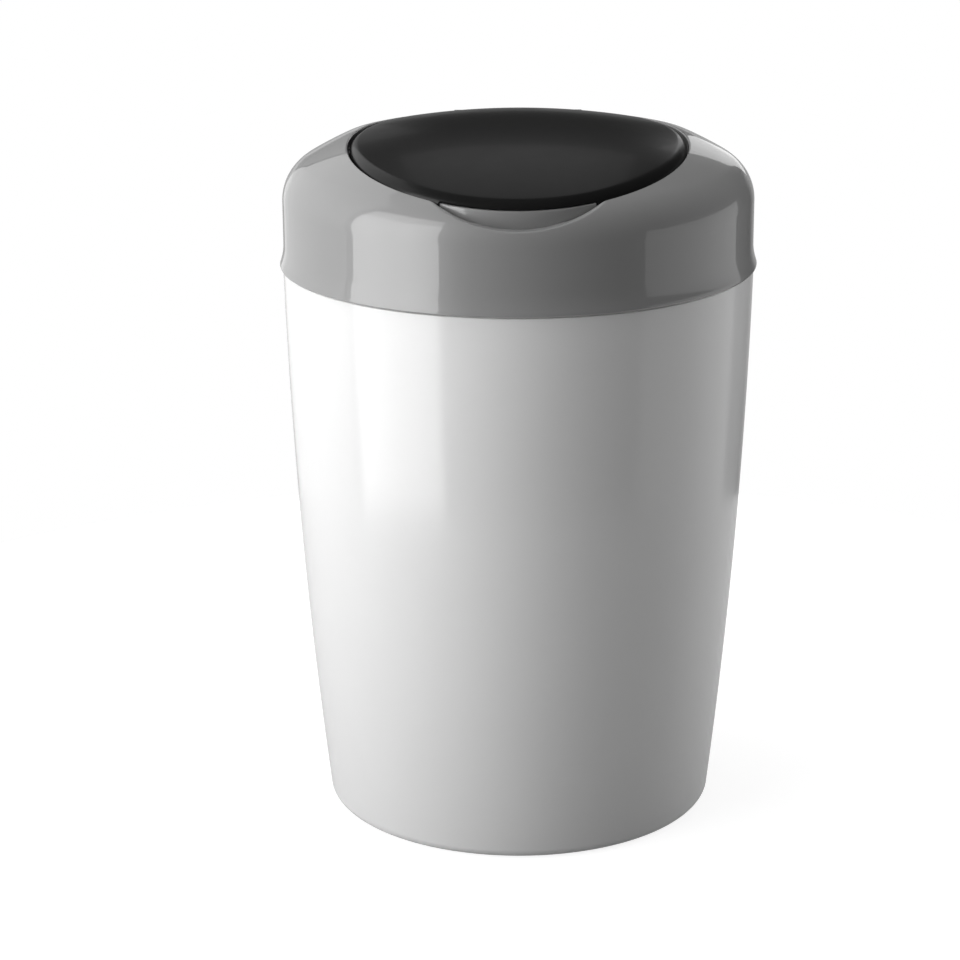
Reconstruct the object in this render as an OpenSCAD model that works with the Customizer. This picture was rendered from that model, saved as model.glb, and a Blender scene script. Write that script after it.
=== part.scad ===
// Nappy bin. A tall round tub carries a lift-off collar. Under the collar's hinged flap a
// carrier turns by hand and twists the film of a cassette shut behind each nappy.
// Millimetres, +Z up. The bin stands on z = 0 with its axis on Z, and faces -Y.

/* [Tub] */
// Outer radius of the tub at the floor, before the bottom edge is rounded
tub_base_r = 103.5; // [92:0.5:125]
// Outer radius of the tub just below the collar
tub_top_r = 123.4; // [119:0.1:150]
// Height of the tub's side, from the floor to the step under the collar
tub_side_h = 295.4; // [240:0.1:360]
// Outward bow of the side at mid height
tub_bow = 3.4; // [1:0.1:6]
// Radius of the rounded bottom edge
bottom_edge_r = 5.5; // [3:0.5:8]
// Wall and floor thickness of the tub
tub_wall = 2.4; // [1.8:0.1:3.2]
// Height of the raised floor's underside above the ground
floor_lift = 4; // [2.5:0.5:8]
// Width of the ring that the tub stands on
foot_w = 8; // [5:0.5:12]
// Height of the neck that the collar slides over
neck_h = 26.6; // [24:0.1:32]
// Step from the side in to the neck
neck_step = 4.4; // [4:0.1:5]

/* [Collar] */
// How far the collar's lip stands out from the tub's side
lip_out = 1.6; // [1:0.1:3]
// Gap between the tub's step and the lip
lip_gap = 0.4; // [0.3:0.1:1]
// How far the flare above the lip draws in
flare_in = 2; // [1:0.1:2.4]
// Height of the flare
flare_h = 12; // [6:0.5:16]
// Height from the lip to the start of the shoulder
skirt_h = 34.5; // [32:0.5:45]
// Radius of the shoulder
shoulder_r = 24; // [18:0.5:30]
// Radius of the dome
dome_r = 218; // [190:1:280]
// Wall of the collar
collar_wall = 2.4; // [1.8:0.1:3]

/* [Flap] */
// Half the width of the oval flap
flap_half_w = 86.5; // [72:0.5:92]
// Half the length of the flap
flap_half_l = 95.5; // [88:0.5:97]
// Centre of the flap, ahead of the bin's axis, where the carrier also turns
flap_y = -20; // [-21:0.5:-16]
// Front-to-back radius of the flap's crown
crown_r = 290; // [250:5:400]
// Side-to-side radius of the flap's crown
crown_side_r = 400; // [350:10:600]
// Highest line of the crown, from the bin's axis
crown_y = -1.3; // [-6:0.1:6]
// Height of the crown over the collar at the front edge
flap_proud = 1.8; // [1:0.1:3]
// Radius of the flap's rounded edge
flap_edge_r = 5; // [4:0.1:6]
// Wall of the flap's cover
flap_wall = 2.2; // [1.6:0.1:2.6]
// Depth of the cover's skirt below the crown
skirt_depth = 6.5; // [6.2:0.1:7]
// Gap around the flap
well_gap = 0.9; // [0.7:0.1:1.5]
// Depth of the ledge under the flap
ledge_depth = 9; // [8.6:0.1:11]
// Width of the ledge, inwards from the flap's outline
ledge_w = 5.5; // [5:0.1:7]
// Wall around the flap's well, and the ledge's thickness
well_wall = 2; // [1.5:0.1:2.6]

/* [Finger scoop] */
// Radius of the hollow under the flap's front edge
scoop_r = 82; // [60:1:110]
// Depth of the hollow below the crown at the front edge
scoop_depth = 12; // [10:0.5:13]
// Half the width over which the flap's skirt is cut back to a lip
lip_half_w = 39; // [34:0.5:44]
// Depth of that lip below the crown
lip_depth = 2.4; // [2.2:0.1:3]

/* [Hinge] */
// Radius of the flap's hinge knuckle
knuckle_r = 3.2; // [2.8:0.1:3.6]
// Half the length of the knuckle
knuckle_half_l = 30.2; // [20:0.2:32]
// Radius of the ears that hold the pin
ear_r = 3.2; // [2.8:0.1:3.6]
// Thickness of each ear
ear_t = 4; // [3:0.5:6]
// Radius of the steel pin
pin_r = 1.25; // [1:0.05:1.6]
// Free space behind the knuckle for the flap as it opens
hinge_relief = 1.8; // [1.6:0.1:3]

/* [Cassette] */
// Outer radius of the film cassette
cassette_r = 78; // [64:0.5:79]
// Radius of the hole that a nappy is pushed through
cassette_bore_r = 52; // [40:0.5:54]
// Height of the cassette
cassette_h = 46; // [30:0.5:50]
// Wall of the cassette
cassette_wall = 1.8; // [1.2:0.1:2.2]
// Width of the film slot in the cassette's top
film_slot_w = 5; // [3:0.5:8]
// Number of key grooves around the cassette
key_count = 6; // [3:1:8]
// Width of a key groove
groove_w = 8; // [6:0.5:10]
// Depth of a key groove
groove_depth = 3; // [2:0.1:4]

/* [Carrier and tray] */
// Wall of the carrier
carrier_wall = 2.6; // [2:0.1:3]
// Space between the cassette and the carrier's wall
cassette_play = 4; // [3.5:0.1:5]
// Number of finger lugs on the carrier
lug_count = 3; // [2:1:4]
// Width of a finger lug, in degrees
lug_angle = 26; // [16:1:36]
// Height of the lugs above the cassette
lug_h = 12; // [8:0.5:13]
// Wall of the tray's deck and cup
tray_wall = 2.4; // [2:0.1:3]
// Height of the cassette's top above the deck
cassette_rise = 4.1; // [2:0.1:5]
// Radial clearance of the turning carrier in its cup
turn_gap = 0.6; // [0.4:0.1:1]

/* [Film gripper] */
// Radius of the gripper's open neck
gripper_neck_r = 18; // [10:0.5:30]
// Number of soft fingers
finger_count = 12; // [8:1:16]
// Width of the slits between the fingers
slit_w = 1.4; // [1:0.1:2.4]
// Drop of the fingers from the rim to the neck
gripper_drop = 15; // [8:0.5:24]
// Thickness of the soft fingers and their rim
gripper_t = 2; // [1.4:0.1:2.6]

/* [Cutter] */
// Length of the cutter's guard
guard_l = 84; // [76:1:92]
// Width of the guard
guard_w = 26; // [24:0.5:30]
// Height of the guard
guard_h = 9; // [8.5:0.5:10]
// Travel of the cutter
cutter_travel = 52; // [46:1:54]
// Width of the throat that the film is drawn into
throat_w = 30; // [20:1:34]

/* [Hidden] */
$fn = 128;

rest_gap = 0.3;      // between pieces that only come to rest on each other
pin_clearance = 0.05; // radial, around the hinge pin and the screws
seat_gap = 0.05;     // between the curved faces of the liner and its seal
over = 1;            // overshoot of a cutting shape
arc_step = 9;        // degrees between the points of a small arc
oval_sides = 60;
head_round = 0.5;    // rounding of a screw's head
recess_w = 0.8;      // cross recess in a screw's head
recess_depth = 1;
crown_bands = 14;
round_fn = 180;
eps = 0.01;

// Tub
neck_r = tub_top_r - neck_step;
neck_in_r = neck_r - tub_wall;
rim_z = tub_side_h + neck_h;
floor_z = floor_lift + tub_wall;
key_stand = 0.8;     // how far the neck's locating keys stand out
key_stand_w = 6;
key_angles = [90, 210, 330];
rib_count = 8;       // ribs under the tub's floor
rib_t = 2;
rib_lift = 0.5;      // of the ribs above the ground
rib_start_r = 19;

// Collar
lip_z = tub_side_h + lip_gap;
lip_r = tub_top_r + lip_out;
wall_r = lip_r - flare_in;
wall_in_r = wall_r - collar_wall;
shoulder_z = lip_z + skirt_h;
shoulder_in = wall_r - shoulder_r;
dome_z = shoulder_z - sqrt(pow(dome_r - shoulder_r, 2) - pow(shoulder_in, 2));
shoulder_angle = atan2(shoulder_z - dome_z, shoulder_in);
flare_r = (pow(flare_h - over, 2) + pow(flare_in, 2)) / (2 * flare_in);
flare_angle = asin((flare_h - over) / flare_r);
dome_bands = 9;
centring_gap = 0.3;
centring_t = 1.6;
centring_pair = 2.6; // degrees each side of a key
centring_lift = 3;   // of the ribs above the lip, and their stop below the rim

// The collar's outer height at a distance from the axis
function collar_height(r) =
    let (join = shoulder_in + shoulder_r * cos(shoulder_angle))
    r < join ? dome_z + sqrt(pow(dome_r, 2) - pow(r, 2))
             : shoulder_z + sqrt(pow(shoulder_r, 2) - pow(r - shoulder_in, 2));

// Flap: the crown is a barrel whose axis runs along X
flap_front_y = flap_y - flap_half_l;
flap_rear_y = flap_y + flap_half_l;
flap_front_z = collar_height(-flap_front_y) + flap_proud;
crown_z = flap_front_z - sqrt(pow(crown_r, 2) - pow(flap_front_y - crown_y, 2));
crown_span = wall_r + 8;
top_z = crown_z + crown_r + over; // above everything
function crown_sag(x) = crown_side_r - sqrt(pow(crown_side_r, 2) - pow(x, 2));
function crown_height(x, y, depth) =
    crown_z + sqrt(pow(crown_r - depth - crown_sag(x), 2) - pow(y - crown_y, 2));
liner_fit = 0.15;    // between the cover's skirt and the liner
liner_depth = 5.2;   // top of the liner's plate below the crown
liner_t = 1.8;
liner_inset = flap_wall + liner_fit;
seal_inset = liner_inset + 0.2;
seal_w = 2.6;
seal_heel_r = 5.45;  // reach of the seal behind the pin, so that it swings clear of the ledge

// Hinge
hinge_y = flap_rear_y - knuckle_r;
hinge_z = crown_height(0, hinge_y, knuckle_r);
hinge_side_gap = 0.4;
ear_x = knuckle_half_l + hinge_side_gap;
notch_gap = 0.9;     // between an ear and the flap's edge

// Finger scoop
scoop_y = flap_front_y + 0.5;
scoop_z = flap_front_z - scoop_depth + scoop_r;
scoop_wall_inset = 0.3; // the scoop's back wall stands under the lip
scoop_wall_t = 1.3;
scoop_wall_gap = 0.8;   // between that wall and the flap

// Tray, carrier and cassette, from the rim of the tub upwards and inwards
seal_t = 1.2;
deck_z = rim_z + rest_gap + seal_t;
deck_top = deck_z + tray_wall;
deck_r = wall_in_r - 0.4;
cassette_top = deck_top + cassette_rise;
cassette_z = cassette_top - cassette_h;
carrier_floor = 2.4;
cup_floor_top = cassette_z - carrier_floor - rest_gap;
cup_floor_z = cup_floor_top - tray_wall;
carrier_in_r = cassette_r + cassette_play;
carrier_r = carrier_in_r + carrier_wall;
cup_r = carrier_r + turn_gap;
cup_out_r = cup_r + tray_wall;
floor_hole_r = cassette_bore_r + 3;
carrier_hole_r = cassette_bore_r + 1;
carrier_top = cassette_top + 2;
lug_r = cassette_r + 1;
drive_rib_w = groove_w - 2;
gusset_angles = [50, 90, 130]; // between the cup and the wide part of the deck
gusset_l = 18;
gusset_h = 14;
gusset_tip = 3;
drive_gap = 0.6;     // between a drive rib and the bottom of its groove
drive_rib_h = cassette_h * 0.8;
first_lug = 30;      // degrees
lug_root = 0.1;      // how far a lug reaches in to the carrier's wall
bezel_t = 1.8;
bezel_gap = 0.4;     // over the carrier's rim
bezel_z = carrier_top + bezel_gap;
bezel_in_r = carrier_in_r + 0.6;
bezel_out_r = cup_out_r + 2.7;
bezel_skirt = 2.2;
peg_r = 0.8;
peg_count = 4;
peg_l = 2;

// Posts of the collar, on a circle inside the neck
post_circle_r = neck_in_r - 9;
post_angles = [-35, 17, 61, 119, 163, 215];
post_r = 4;
screw_r = 1.45;
screw_l = 12;
head_r = 3.2;
head_h = 2.2;

// Gripper
gripper_rim_r = floor_hole_r + 11;
boss_circle_r = gripper_rim_r + 4.7;
boss_r = 4;
retainer_t = 2.6;
retainer_r = boss_circle_r + 5;
retainer_in_r = floor_hole_r + 1.5;
gripper_screw_count = 6;
gripper_screw_r = 1.3;
gripper_z = cup_floor_z - gripper_t;
retainer_z = gripper_z - retainer_t;
gripper_screw_l = retainer_t + gripper_t + tray_wall - 0.8;

// Cutter, hung from a flat pad under the flap
pad_l = guard_l + 8;
pad_w = guard_w + 8;
pad_drop = 5;        // of the pad below the liner's lowest corner
pad_z = crown_height(pad_l / 2, flap_y - pad_w / 2, liner_depth + liner_t) - pad_drop;
pad_t = 2;
guard_z = pad_z - guard_h;
channel_w = 10;
guard_floor = 2;
slider_l = 16;
slider_gap = 0.3;
slider_x = -cutter_travel / 2;
channel_l = cutter_travel + slider_l + 1;
knob_w = 4.4;
knob_l = 10;
knob_drop = 5;
throat_h = 5.8;
throat_depth = 13;
blade_t = 0.5;
blade_reach = 9;
blade_grip = 3;
blade_slot = 1.3;
cutter_screw_r = 1.2;
cutter_screw_x = guard_l / 2 - 5;
cutter_screw_y = guard_w / 2 - 4;
cutter_screw_l = 6;  // in the pad's boss
cutter_boss_r = 3;
cutter_head_r = 2.2;
cutter_head_h = 1.6;
head_sink = 3;       // depth that the cutter's screws are sunk in its guard
channel_y = flap_y + 1;
blade_z = guard_z + guard_floor + throat_h / 2;

// Points of an arc, about a centre, from one angle to another
function arc(centre, r, from, to) =
    let (n = max(1, ceil(abs(to - from) / arc_step)))
    [for (i = [0 : n]) let (a = from + (to - from) * i / n)
        centre + r * [cos(a), sin(a)]];

module ring(r_in, r_out, z0, z1) {
    translate([0, 0, z0]) difference() {
        cylinder(r = r_out, h = z1 - z0, $fn = round_fn);
        translate([0, 0, -over])
            cylinder(r = r_in, h = z1 - z0 + 2 * over, $fn = round_fn);
    }
}

// Places children on the axis that the carrier turns about
module at_carrier() {
    translate([0, flap_y, 0]) children();
}

module around(count, r, first = 0) {
    for (i = [0 : count - 1])
        rotate(first + i * 360 / count) translate([r, 0, 0]) children();
}

// A pan-head screw whose head hangs below z = 0, with a cross recess
module screw(r, l, head, head_height) {
    arm = head * 0.6;
    translate([0, 0, -eps]) cylinder(r = r, h = l + eps, $fn = 32);
    translate([0, 0, -head_height]) difference() {
        rotate_extrude($fn = 48) polygon([
            [0, 0], [head - head_round, 0], [head, head_round], [head, head_height],
            [0, head_height]]);
        for (turn = [0, 90])
            rotate(turn) translate([-arm, -recess_w / 2, -over])
                cube([2 * arm, recess_w, over + recess_depth]);
    }
}

// ---- Oval and crown, which the flap and the collar's well share ----

module oval_column(inset, z0, z1) {
    translate([0, flap_y, z0]) linear_extrude(z1 - z0) polygon([
        for (i = [0 : oval_sides - 1]) let (a = i * 360 / oval_sides)
            [(flap_half_w - inset) * cos(a), (flap_half_l - inset) * sin(a)]]);
}

// Everything below the crown's surface, lowered by depth
module under_crown(depth) {
    translate([0, crown_y, crown_z]) rotate([0, 90, 0]) rotate_extrude($fn = 360)
        polygon(concat([[0, -crown_span]],
            [for (i = [0 : crown_bands]) let (x = crown_span * (2 * i / crown_bands - 1))
                [crown_r - depth - crown_sag(x), x]],
            [[0, crown_span]]));
}

// An oval slice of the space between two depths below the crown
module crown_slice(inset, depth_top, depth_bottom) {
    difference() {
        intersection() {
            under_crown(depth_top);
            oval_column(inset, deck_top, top_z);
        }
        under_crown(depth_bottom);
    }
}

// The flap's solid form: an oval under the crown with a rounded upper edge
module pillow(inset, bottom_depth) {
    edge = flap_edge_r - inset;
    a = flap_half_w - inset;
    b = flap_half_l - inset;
    turns = [0, 15, 30, 45, 60, 75, 90];
    // Each ring is [distance in from the outline, depth below the crown]
    edge_rings = [for (t = turns) [edge * (1 - cos(t)), inset + edge * (1 - sin(t))]];
    inner_rings = [for (f = [0.8, 0.6, 0.4, 0.2]) [a * (1 - f), inset]];
    rings = concat([[0, bottom_depth]], edge_rings, inner_rings);
    n = oval_sides;
    ring_points = [for (ring = rings) for (i = [0 : n - 1])
        let (angle = i * 360 / n, shrink = 1 - ring[0] / a,
             x = a * shrink * cos(angle), y = flap_y + (b - ring[0] * b / a) * sin(angle))
        [x, y, crown_height(x, y, ring[1])]];
    top = len(ring_points);
    bottom_z = crown_height(a, flap_y, bottom_depth);
    points = concat(ring_points, [[0, flap_y, crown_height(0, flap_y, inset)]],
        [[0, flap_y, bottom_z]]);
    sides = [for (k = [0 : len(rings) - 2]) for (i = [0 : n - 1])
        let (j = (i + 1) % n)
        each [[k * n + i, (k + 1) * n + i, k * n + j],
              [k * n + j, (k + 1) * n + i, (k + 1) * n + j]]];
    last = (len(rings) - 1) * n;
    crown_fan = [for (i = [0 : n - 1]) [last + i, top, last + (i + 1) % n]];
    base_fan = [for (i = [0 : n - 1]) [i, (i + 1) % n, top + 1]];
    polyhedron(points, concat(sides, crown_fan, base_fan));
}

module hinge_rod(r, half_l) {
    translate([-half_l, hinge_y, hinge_z]) rotate([0, 90, 0])
        cylinder(r = r, h = 2 * half_l, $fn = 64);
}

// Takes the corners off the flap's pieces, beside the collar's ears
module ear_notches() {
    notch_y = hinge_y - ear_r - notch_gap;
    for (side = [-1, 1])
        translate([side > 0 ? knuckle_half_l : -knuckle_half_l - 3 * ear_t, notch_y,
            hinge_z - 2 * ledge_depth])
            cube([3 * ear_t, 4 * knuckle_r, 4 * ledge_depth]);
}

// Cuts the front of the cover's skirt back to a thin lip over the finger scoop
module lip_cut() {
    intersection() {
        under_crown(lip_depth);
        translate([-lip_half_w, flap_front_y - over, flap_front_z - 2 * ledge_depth])
            cube([2 * lip_half_w, over + flap_half_l / 4, 3 * ledge_depth]);
    }
}

// ---- Tub ----

// Outer radius of the tub's side: a straight cone with an even bow
function side_r(z) =
    let (f = z / tub_side_h)
    tub_base_r + (tub_top_r - tub_base_r) * f + tub_bow * 4 * f * (1 - f);

module tub_form(inset, z_low, z_high) {
    steps = 16;
    low = z_low + bottom_edge_r;
    foot = side_r(low) - inset;
    rotate_extrude($fn = round_fn) polygon(concat(
        [[0, z_low]],
        arc([foot - bottom_edge_r, low], bottom_edge_r, -90, 0),
        [for (i = [1 : steps]) let (z = low + (z_high - low) * i / steps)
            [side_r(z) - inset, z]],
        [[0, z_high]]));
}

module tub() color("white") {
    foot_r = side_r(bottom_edge_r) - bottom_edge_r;
    difference() {
        union() {
            tub_form(0, 0, tub_side_h);
            translate([0, 0, tub_side_h - over])
                cylinder(r = neck_r, h = neck_h + over, $fn = round_fn);
            // Keys that set the collar's flap to the front
            for (a = key_angles)
                rotate(a) translate([neck_r - over, -key_stand_w / 2, tub_side_h - over])
                    cube([over + key_stand, key_stand_w, neck_h / 2 + over]);
        }
        // A shelf as thick as the wall steps in to the neck, which runs straight up
        tub_form(tub_wall, floor_z, tub_side_h - tub_wall);
        translate([0, 0, tub_side_h - 2 * tub_wall])
            cylinder(r = neck_in_r, h = neck_h + 3 * tub_wall, $fn = round_fn);
        translate([0, 0, -over])
            cylinder(r = foot_r - foot_w, h = floor_lift + over, $fn = round_fn);
    }
    // Ribs that stiffen the raised floor
    for (i = [0 : rib_count - 1])
        rotate(i * 360 / rib_count + 180 / rib_count)
            translate([rib_start_r, -rib_t / 2, rib_lift])
                cube([foot_r - foot_w - rib_start_r + eps, rib_t,
                    floor_lift - rib_lift + eps]);
}

// ---- Collar ----

function collar_outline(inset) = concat(
    arc([shoulder_in, shoulder_z], shoulder_r - inset, 0, shoulder_angle),
    [for (i = [1 : dome_bands]) let (a = shoulder_angle + (90 - shoulder_angle) * i / dome_bands)
        [(dome_r - inset) * cos(a), dome_z + (dome_r - inset) * sin(a)]]);

module collar_outer() {
    lip_round = 1;
    rotate_extrude($fn = round_fn) polygon(concat(
        [[0, lip_z]],
        arc([lip_r - lip_round, lip_z + lip_round], lip_round, -90, 0),
        [for (i = [1 : 4]) let (a = flare_angle * (1 - i / 4))
            [wall_r + flare_r * (1 - cos(a)), lip_z + flare_h - flare_r * sin(a)]],
        collar_outline(0)));
}

module collar_inner() {
    intersection() {
        rotate_extrude($fn = round_fn) polygon(concat(
            [[0, lip_z - over], [wall_in_r, lip_z - over]],
            collar_outline(collar_wall)));
        under_crown(collar_wall);
    }
}

// Solid block round the flap's well, down to the ledge's underside
module well_block() {
    difference() {
        union() {
            oval_column(-well_gap - well_wall, deck_top, top_z);
            translate([-ear_x - ear_t, hinge_y, deck_top])
                cube([2 * (ear_x + ear_t), knuckle_r + hinge_relief + well_wall,
                    top_z - deck_top]);
        }
        under_crown(ledge_depth + well_wall);
    }
}

module well_void() {
    difference() {
        union() {
            oval_column(-well_gap, deck_top, top_z + over);
            translate([-ear_x, flap_y, deck_top])
                cube([2 * ear_x, hinge_y + knuckle_r + hinge_relief - flap_y,
                    top_z + over - deck_top]);
        }
        under_crown(ledge_depth);
        scoop_wall();
    }
}

module ears() {
    back = knuckle_r + hinge_relief + well_wall;
    for (side = [-1, 1])
        translate([side > 0 ? ear_x : -ear_x - ear_t, hinge_y, hinge_z]) {
            rotate([0, 90, 0]) cylinder(r = ear_r, h = ear_t, $fn = 48);
            translate([0, 0, -ear_r]) cube([ear_t, back, ear_r]);
        }
}

module scoop(extra) {
    translate([0, scoop_y, scoop_z]) sphere(r = scoop_r + extra, $fn = round_fn);
}

// Back wall of the scoop, which stands up under the flap's lip and hides its seal
module scoop_wall() {
    half = lip_half_w - scoop_wall_gap;
    intersection() {
        difference() {
            oval_column(scoop_wall_inset, deck_top, top_z);
            oval_column(scoop_wall_inset + scoop_wall_t, deck_top - over, top_z + over);
        }
        translate([-half, flap_front_y - over, deck_top])
            cube([2 * half, flap_half_l, top_z - deck_top]);
        under_crown(lip_depth + scoop_wall_gap);
    }
}

// The scoop stops at the seal's ledge and at its own back wall
module scoop_cut() {
    difference() {
        scoop(0);
        intersection() {
            oval_column(scoop_wall_inset, deck_top, top_z);
            under_crown(ledge_depth);
        }
        scoop_wall();
    }
}

module posts() {
    for (a = post_angles)
        rotate(a) translate([post_circle_r, 0, deck_top])
            cylinder(r = post_r, h = top_z - deck_top, $fn = 48);
}

module centring_ribs() {
    for (a = concat([for (i = [0 : 5]) i * 60],
            [for (k = key_angles) for (s = [-1, 1]) k + s * centring_pair]))
        rotate(a) translate([neck_r + centring_gap, -centring_t / 2,
            lip_z + centring_lift])
            cube([wall_in_r - neck_r - centring_gap + over, centring_t,
                neck_h - 2 * centring_lift]);
}

module collar() color("gray") {
    difference() {
        union() {
            difference() {
                // All that lies outside the hollow, or belongs to the well, scoop or posts
                intersection() {
                    collar_outer();
                    under_crown(0);
                    union() {
                        difference() {
                            translate([0, 0, lip_z - over])
                                cylinder(r = lip_r + over, h = top_z - lip_z);
                            collar_inner();
                        }
                        well_block();
                        scoop(collar_wall);
                        posts();
                    }
                }
                well_void();
                oval_column(ledge_w, deck_top, top_z + over);
                scoop_cut();
            }
            ears();
            centring_ribs();
        }
        hinge_rod(pin_r + pin_clearance / 2, ear_x + ear_t + over);
        for (a = post_angles)
            rotate(a) translate([post_circle_r, 0, deck_top - over])
                cylinder(r = screw_r + pin_clearance, h = screw_l - tray_wall + 2,
                    $fn = 32);
    }
}

// ---- Tray: the deck that closes the collar, with the cup that the carrier turns in ----

module tray() color("dimgray") {
    difference() {
        union() {
            translate([0, 0, deck_z]) cylinder(r = deck_r, h = tray_wall, $fn = round_fn);
            at_carrier() translate([0, 0, cup_floor_z])
                cylinder(r = cup_out_r, h = deck_top - cup_floor_z, $fn = round_fn);
            // Bosses for the gripper's screws
            at_carrier() around(gripper_screw_count, boss_circle_r)
                translate([0, 0, gripper_z])
                    cylinder(r = boss_r, h = gripper_t + tray_wall, $fn = 48);
            // Gussets between the cup and the wide part of the deck
            for (a = gusset_angles)
                at_carrier() rotate(a)
                    translate([cup_out_r - over, tray_wall / 2, deck_z + eps])
                        rotate([90, 0, 0]) linear_extrude(tray_wall)
                            polygon([[0, 0], [gusset_l + over, 0],
                                [gusset_l + over, -gusset_tip], [over, -gusset_h],
                                [0, -gusset_h]]);
        }
        at_carrier() translate([0, 0, cup_floor_top])
            cylinder(r = cup_r, h = deck_top - cup_floor_top + over, $fn = round_fn);
        at_carrier() translate([0, 0, cup_floor_z - over])
            cylinder(r = floor_hole_r, h = tray_wall + 2 * over, $fn = round_fn);
        for (a = post_angles)
            rotate(a) translate([post_circle_r, 0, deck_z - over])
                cylinder(r = screw_r + 3 * pin_clearance, h = tray_wall + 2 * over, $fn = 32);
        at_carrier() around(peg_count, bezel_out_r - bezel_skirt / 2, 45)
            translate([0, 0, deck_z - over])
                cylinder(r = peg_r + pin_clearance, h = tray_wall + 2 * over, $fn = 32);
        at_carrier() around(gripper_screw_count, boss_circle_r)
            translate([0, 0, gripper_z - over])
                cylinder(r = gripper_screw_r + pin_clearance,
                    h = gripper_t + tray_wall + over - 0.4, $fn = 32);
    }
}

module tub_seal() color("black") {
    ring(neck_in_r - 1, neck_r + 0.2, deck_z - seal_t, deck_z);
}

module bezel_ring() color("dimgray") at_carrier() {
    ring(bezel_in_r, bezel_out_r, bezel_z, bezel_z + bezel_t);
    ring(bezel_out_r - bezel_skirt, bezel_out_r, deck_top, bezel_z + eps);
    around(peg_count, bezel_out_r - bezel_skirt / 2, 45)
        translate([0, 0, deck_top - peg_l])
            cylinder(r = peg_r, h = peg_l + over, $fn = 32);
}

module tray_screws() color("silver") {
    for (a = post_angles)
        rotate(a) translate([post_circle_r, 0, deck_z])
            screw(screw_r, screw_l, head_r, head_h);
}

// ---- Carrier: a turntable that grips the cassette by its key grooves ----

module carrier() color("lightgray") at_carrier() {
    ring(carrier_hole_r, carrier_r, cassette_z - carrier_floor, cassette_z);
    ring(carrier_in_r, carrier_r, cassette_z - eps, carrier_top);
    // Drive ribs
    for (i = [0 : key_count - 1])
        rotate(i * 360 / key_count)
            translate([cassette_r - groove_depth + drive_gap, -drive_rib_w / 2,
                cassette_z - eps])
                cube([cassette_play + groove_depth, drive_rib_w, drive_rib_h]);
    // Finger lugs
    for (i = [0 : lug_count - 1])
        rotate(first_lug + i * 360 / lug_count - lug_angle / 2)
            translate([0, 0, cassette_top - lug_h])
                rotate_extrude(angle = lug_angle, $fn = round_fn)
                    translate([lug_r, 0])
                        square([carrier_in_r + lug_root - lug_r, 2 * lug_h]);
}

// ---- Cassette ----

module cassette_grooves(z0, z1) {
    for (i = [0 : key_count - 1])
        rotate(i * 360 / key_count) translate([cassette_r - groove_depth, -groove_w / 2, z0])
            cube([groove_depth + over, groove_w, z1 - z0]);
}

module cassette_body() color("whitesmoke") at_carrier() {
    cover_t = cassette_wall;
    top = cassette_top - cover_t;
    difference() {
        union() {
            ring(cassette_bore_r, cassette_r, cassette_z, cassette_z + cassette_wall);
            ring(cassette_bore_r, cassette_bore_r + cassette_wall, cassette_z, cassette_top);
            ring(cassette_r - cassette_wall, cassette_r, cassette_z, top);
            // The wall steps inwards behind each groove
            intersection() {
                ring(cassette_r - groove_depth - cassette_wall, cassette_r, cassette_z, top);
                for (i = [0 : key_count - 1])
                    rotate(i * 360 / key_count)
                        translate([0, -groove_w / 2 - cassette_wall, cassette_z])
                            cube([cassette_r + over, groove_w + 2 * cassette_wall,
                                cassette_h]);
            }
        }
        cassette_grooves(cassette_z - over, cassette_top + over);
    }
}

module cassette_cover() color("whitesmoke") at_carrier() {
    slot_r = cassette_bore_r + cassette_wall + film_slot_w;
    lip_r_out = cassette_r - groove_depth - cassette_wall - 0.3;
    difference() {
        ring(slot_r, cassette_r, cassette_top - cassette_wall, cassette_top);
        cassette_grooves(cassette_top - cassette_wall - over, cassette_top + over);
    }
    ring(lip_r_out - cassette_wall, lip_r_out, cassette_top - 2 * cassette_wall,
        cassette_top - cassette_wall + eps);
}

module film_pack() color("azure") at_carrier() {
    play = 0.6;
    ring(cassette_bore_r + cassette_wall + play,
        cassette_r - groove_depth - cassette_wall - play,
        cassette_z + cassette_wall, cassette_top - 2 * cassette_wall - play);
}

// ---- Gripper: soft fingers under the cup that hold the twisted film ----

module gripper() color("dimgray") at_carrier() {
    difference() {
        rotate_extrude($fn = round_fn) polygon([
            [gripper_rim_r, gripper_z],
            [gripper_rim_r, gripper_z + gripper_t],
            [floor_hole_r - 1, gripper_z + gripper_t],
            [gripper_neck_r, gripper_z + gripper_t - gripper_drop],
            [gripper_neck_r, gripper_z - gripper_drop],
            [floor_hole_r - 1, gripper_z]]);
        for (i = [0 : finger_count - 1])
            rotate(i * 360 / finger_count)
                translate([0, -slit_w / 2, gripper_z - gripper_drop - over])
                    cube([floor_hole_r - 4, slit_w, gripper_drop + gripper_t + 2 * over]);
    }
}

module gripper_retainer() color("gray") at_carrier() {
    difference() {
        ring(retainer_in_r, retainer_r, retainer_z, gripper_z);
        around(gripper_screw_count, boss_circle_r)
            translate([0, 0, retainer_z - over])
                cylinder(r = gripper_screw_r + 3 * pin_clearance, h = retainer_t + 2 * over,
                    $fn = 32);
    }
}

module gripper_screws() color("silver") at_carrier() {
    around(gripper_screw_count, boss_circle_r)
        translate([0, 0, retainer_z])
            screw(gripper_screw_r, gripper_screw_l, 2 * gripper_screw_r + 0.2, 2);
}

// ---- Flap ----

module flap_cover() color([0.16, 0.16, 0.17]) {
    difference() {
        union() {
            difference() {
                pillow(0, skirt_depth);
                pillow(flap_wall, skirt_depth + 3);
                lip_cut();
            }
            hinge_rod(knuckle_r, knuckle_half_l);
        }
        ear_notches();
        hinge_rod(pin_r + pin_clearance, ear_x + ear_t);
    }
}

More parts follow.
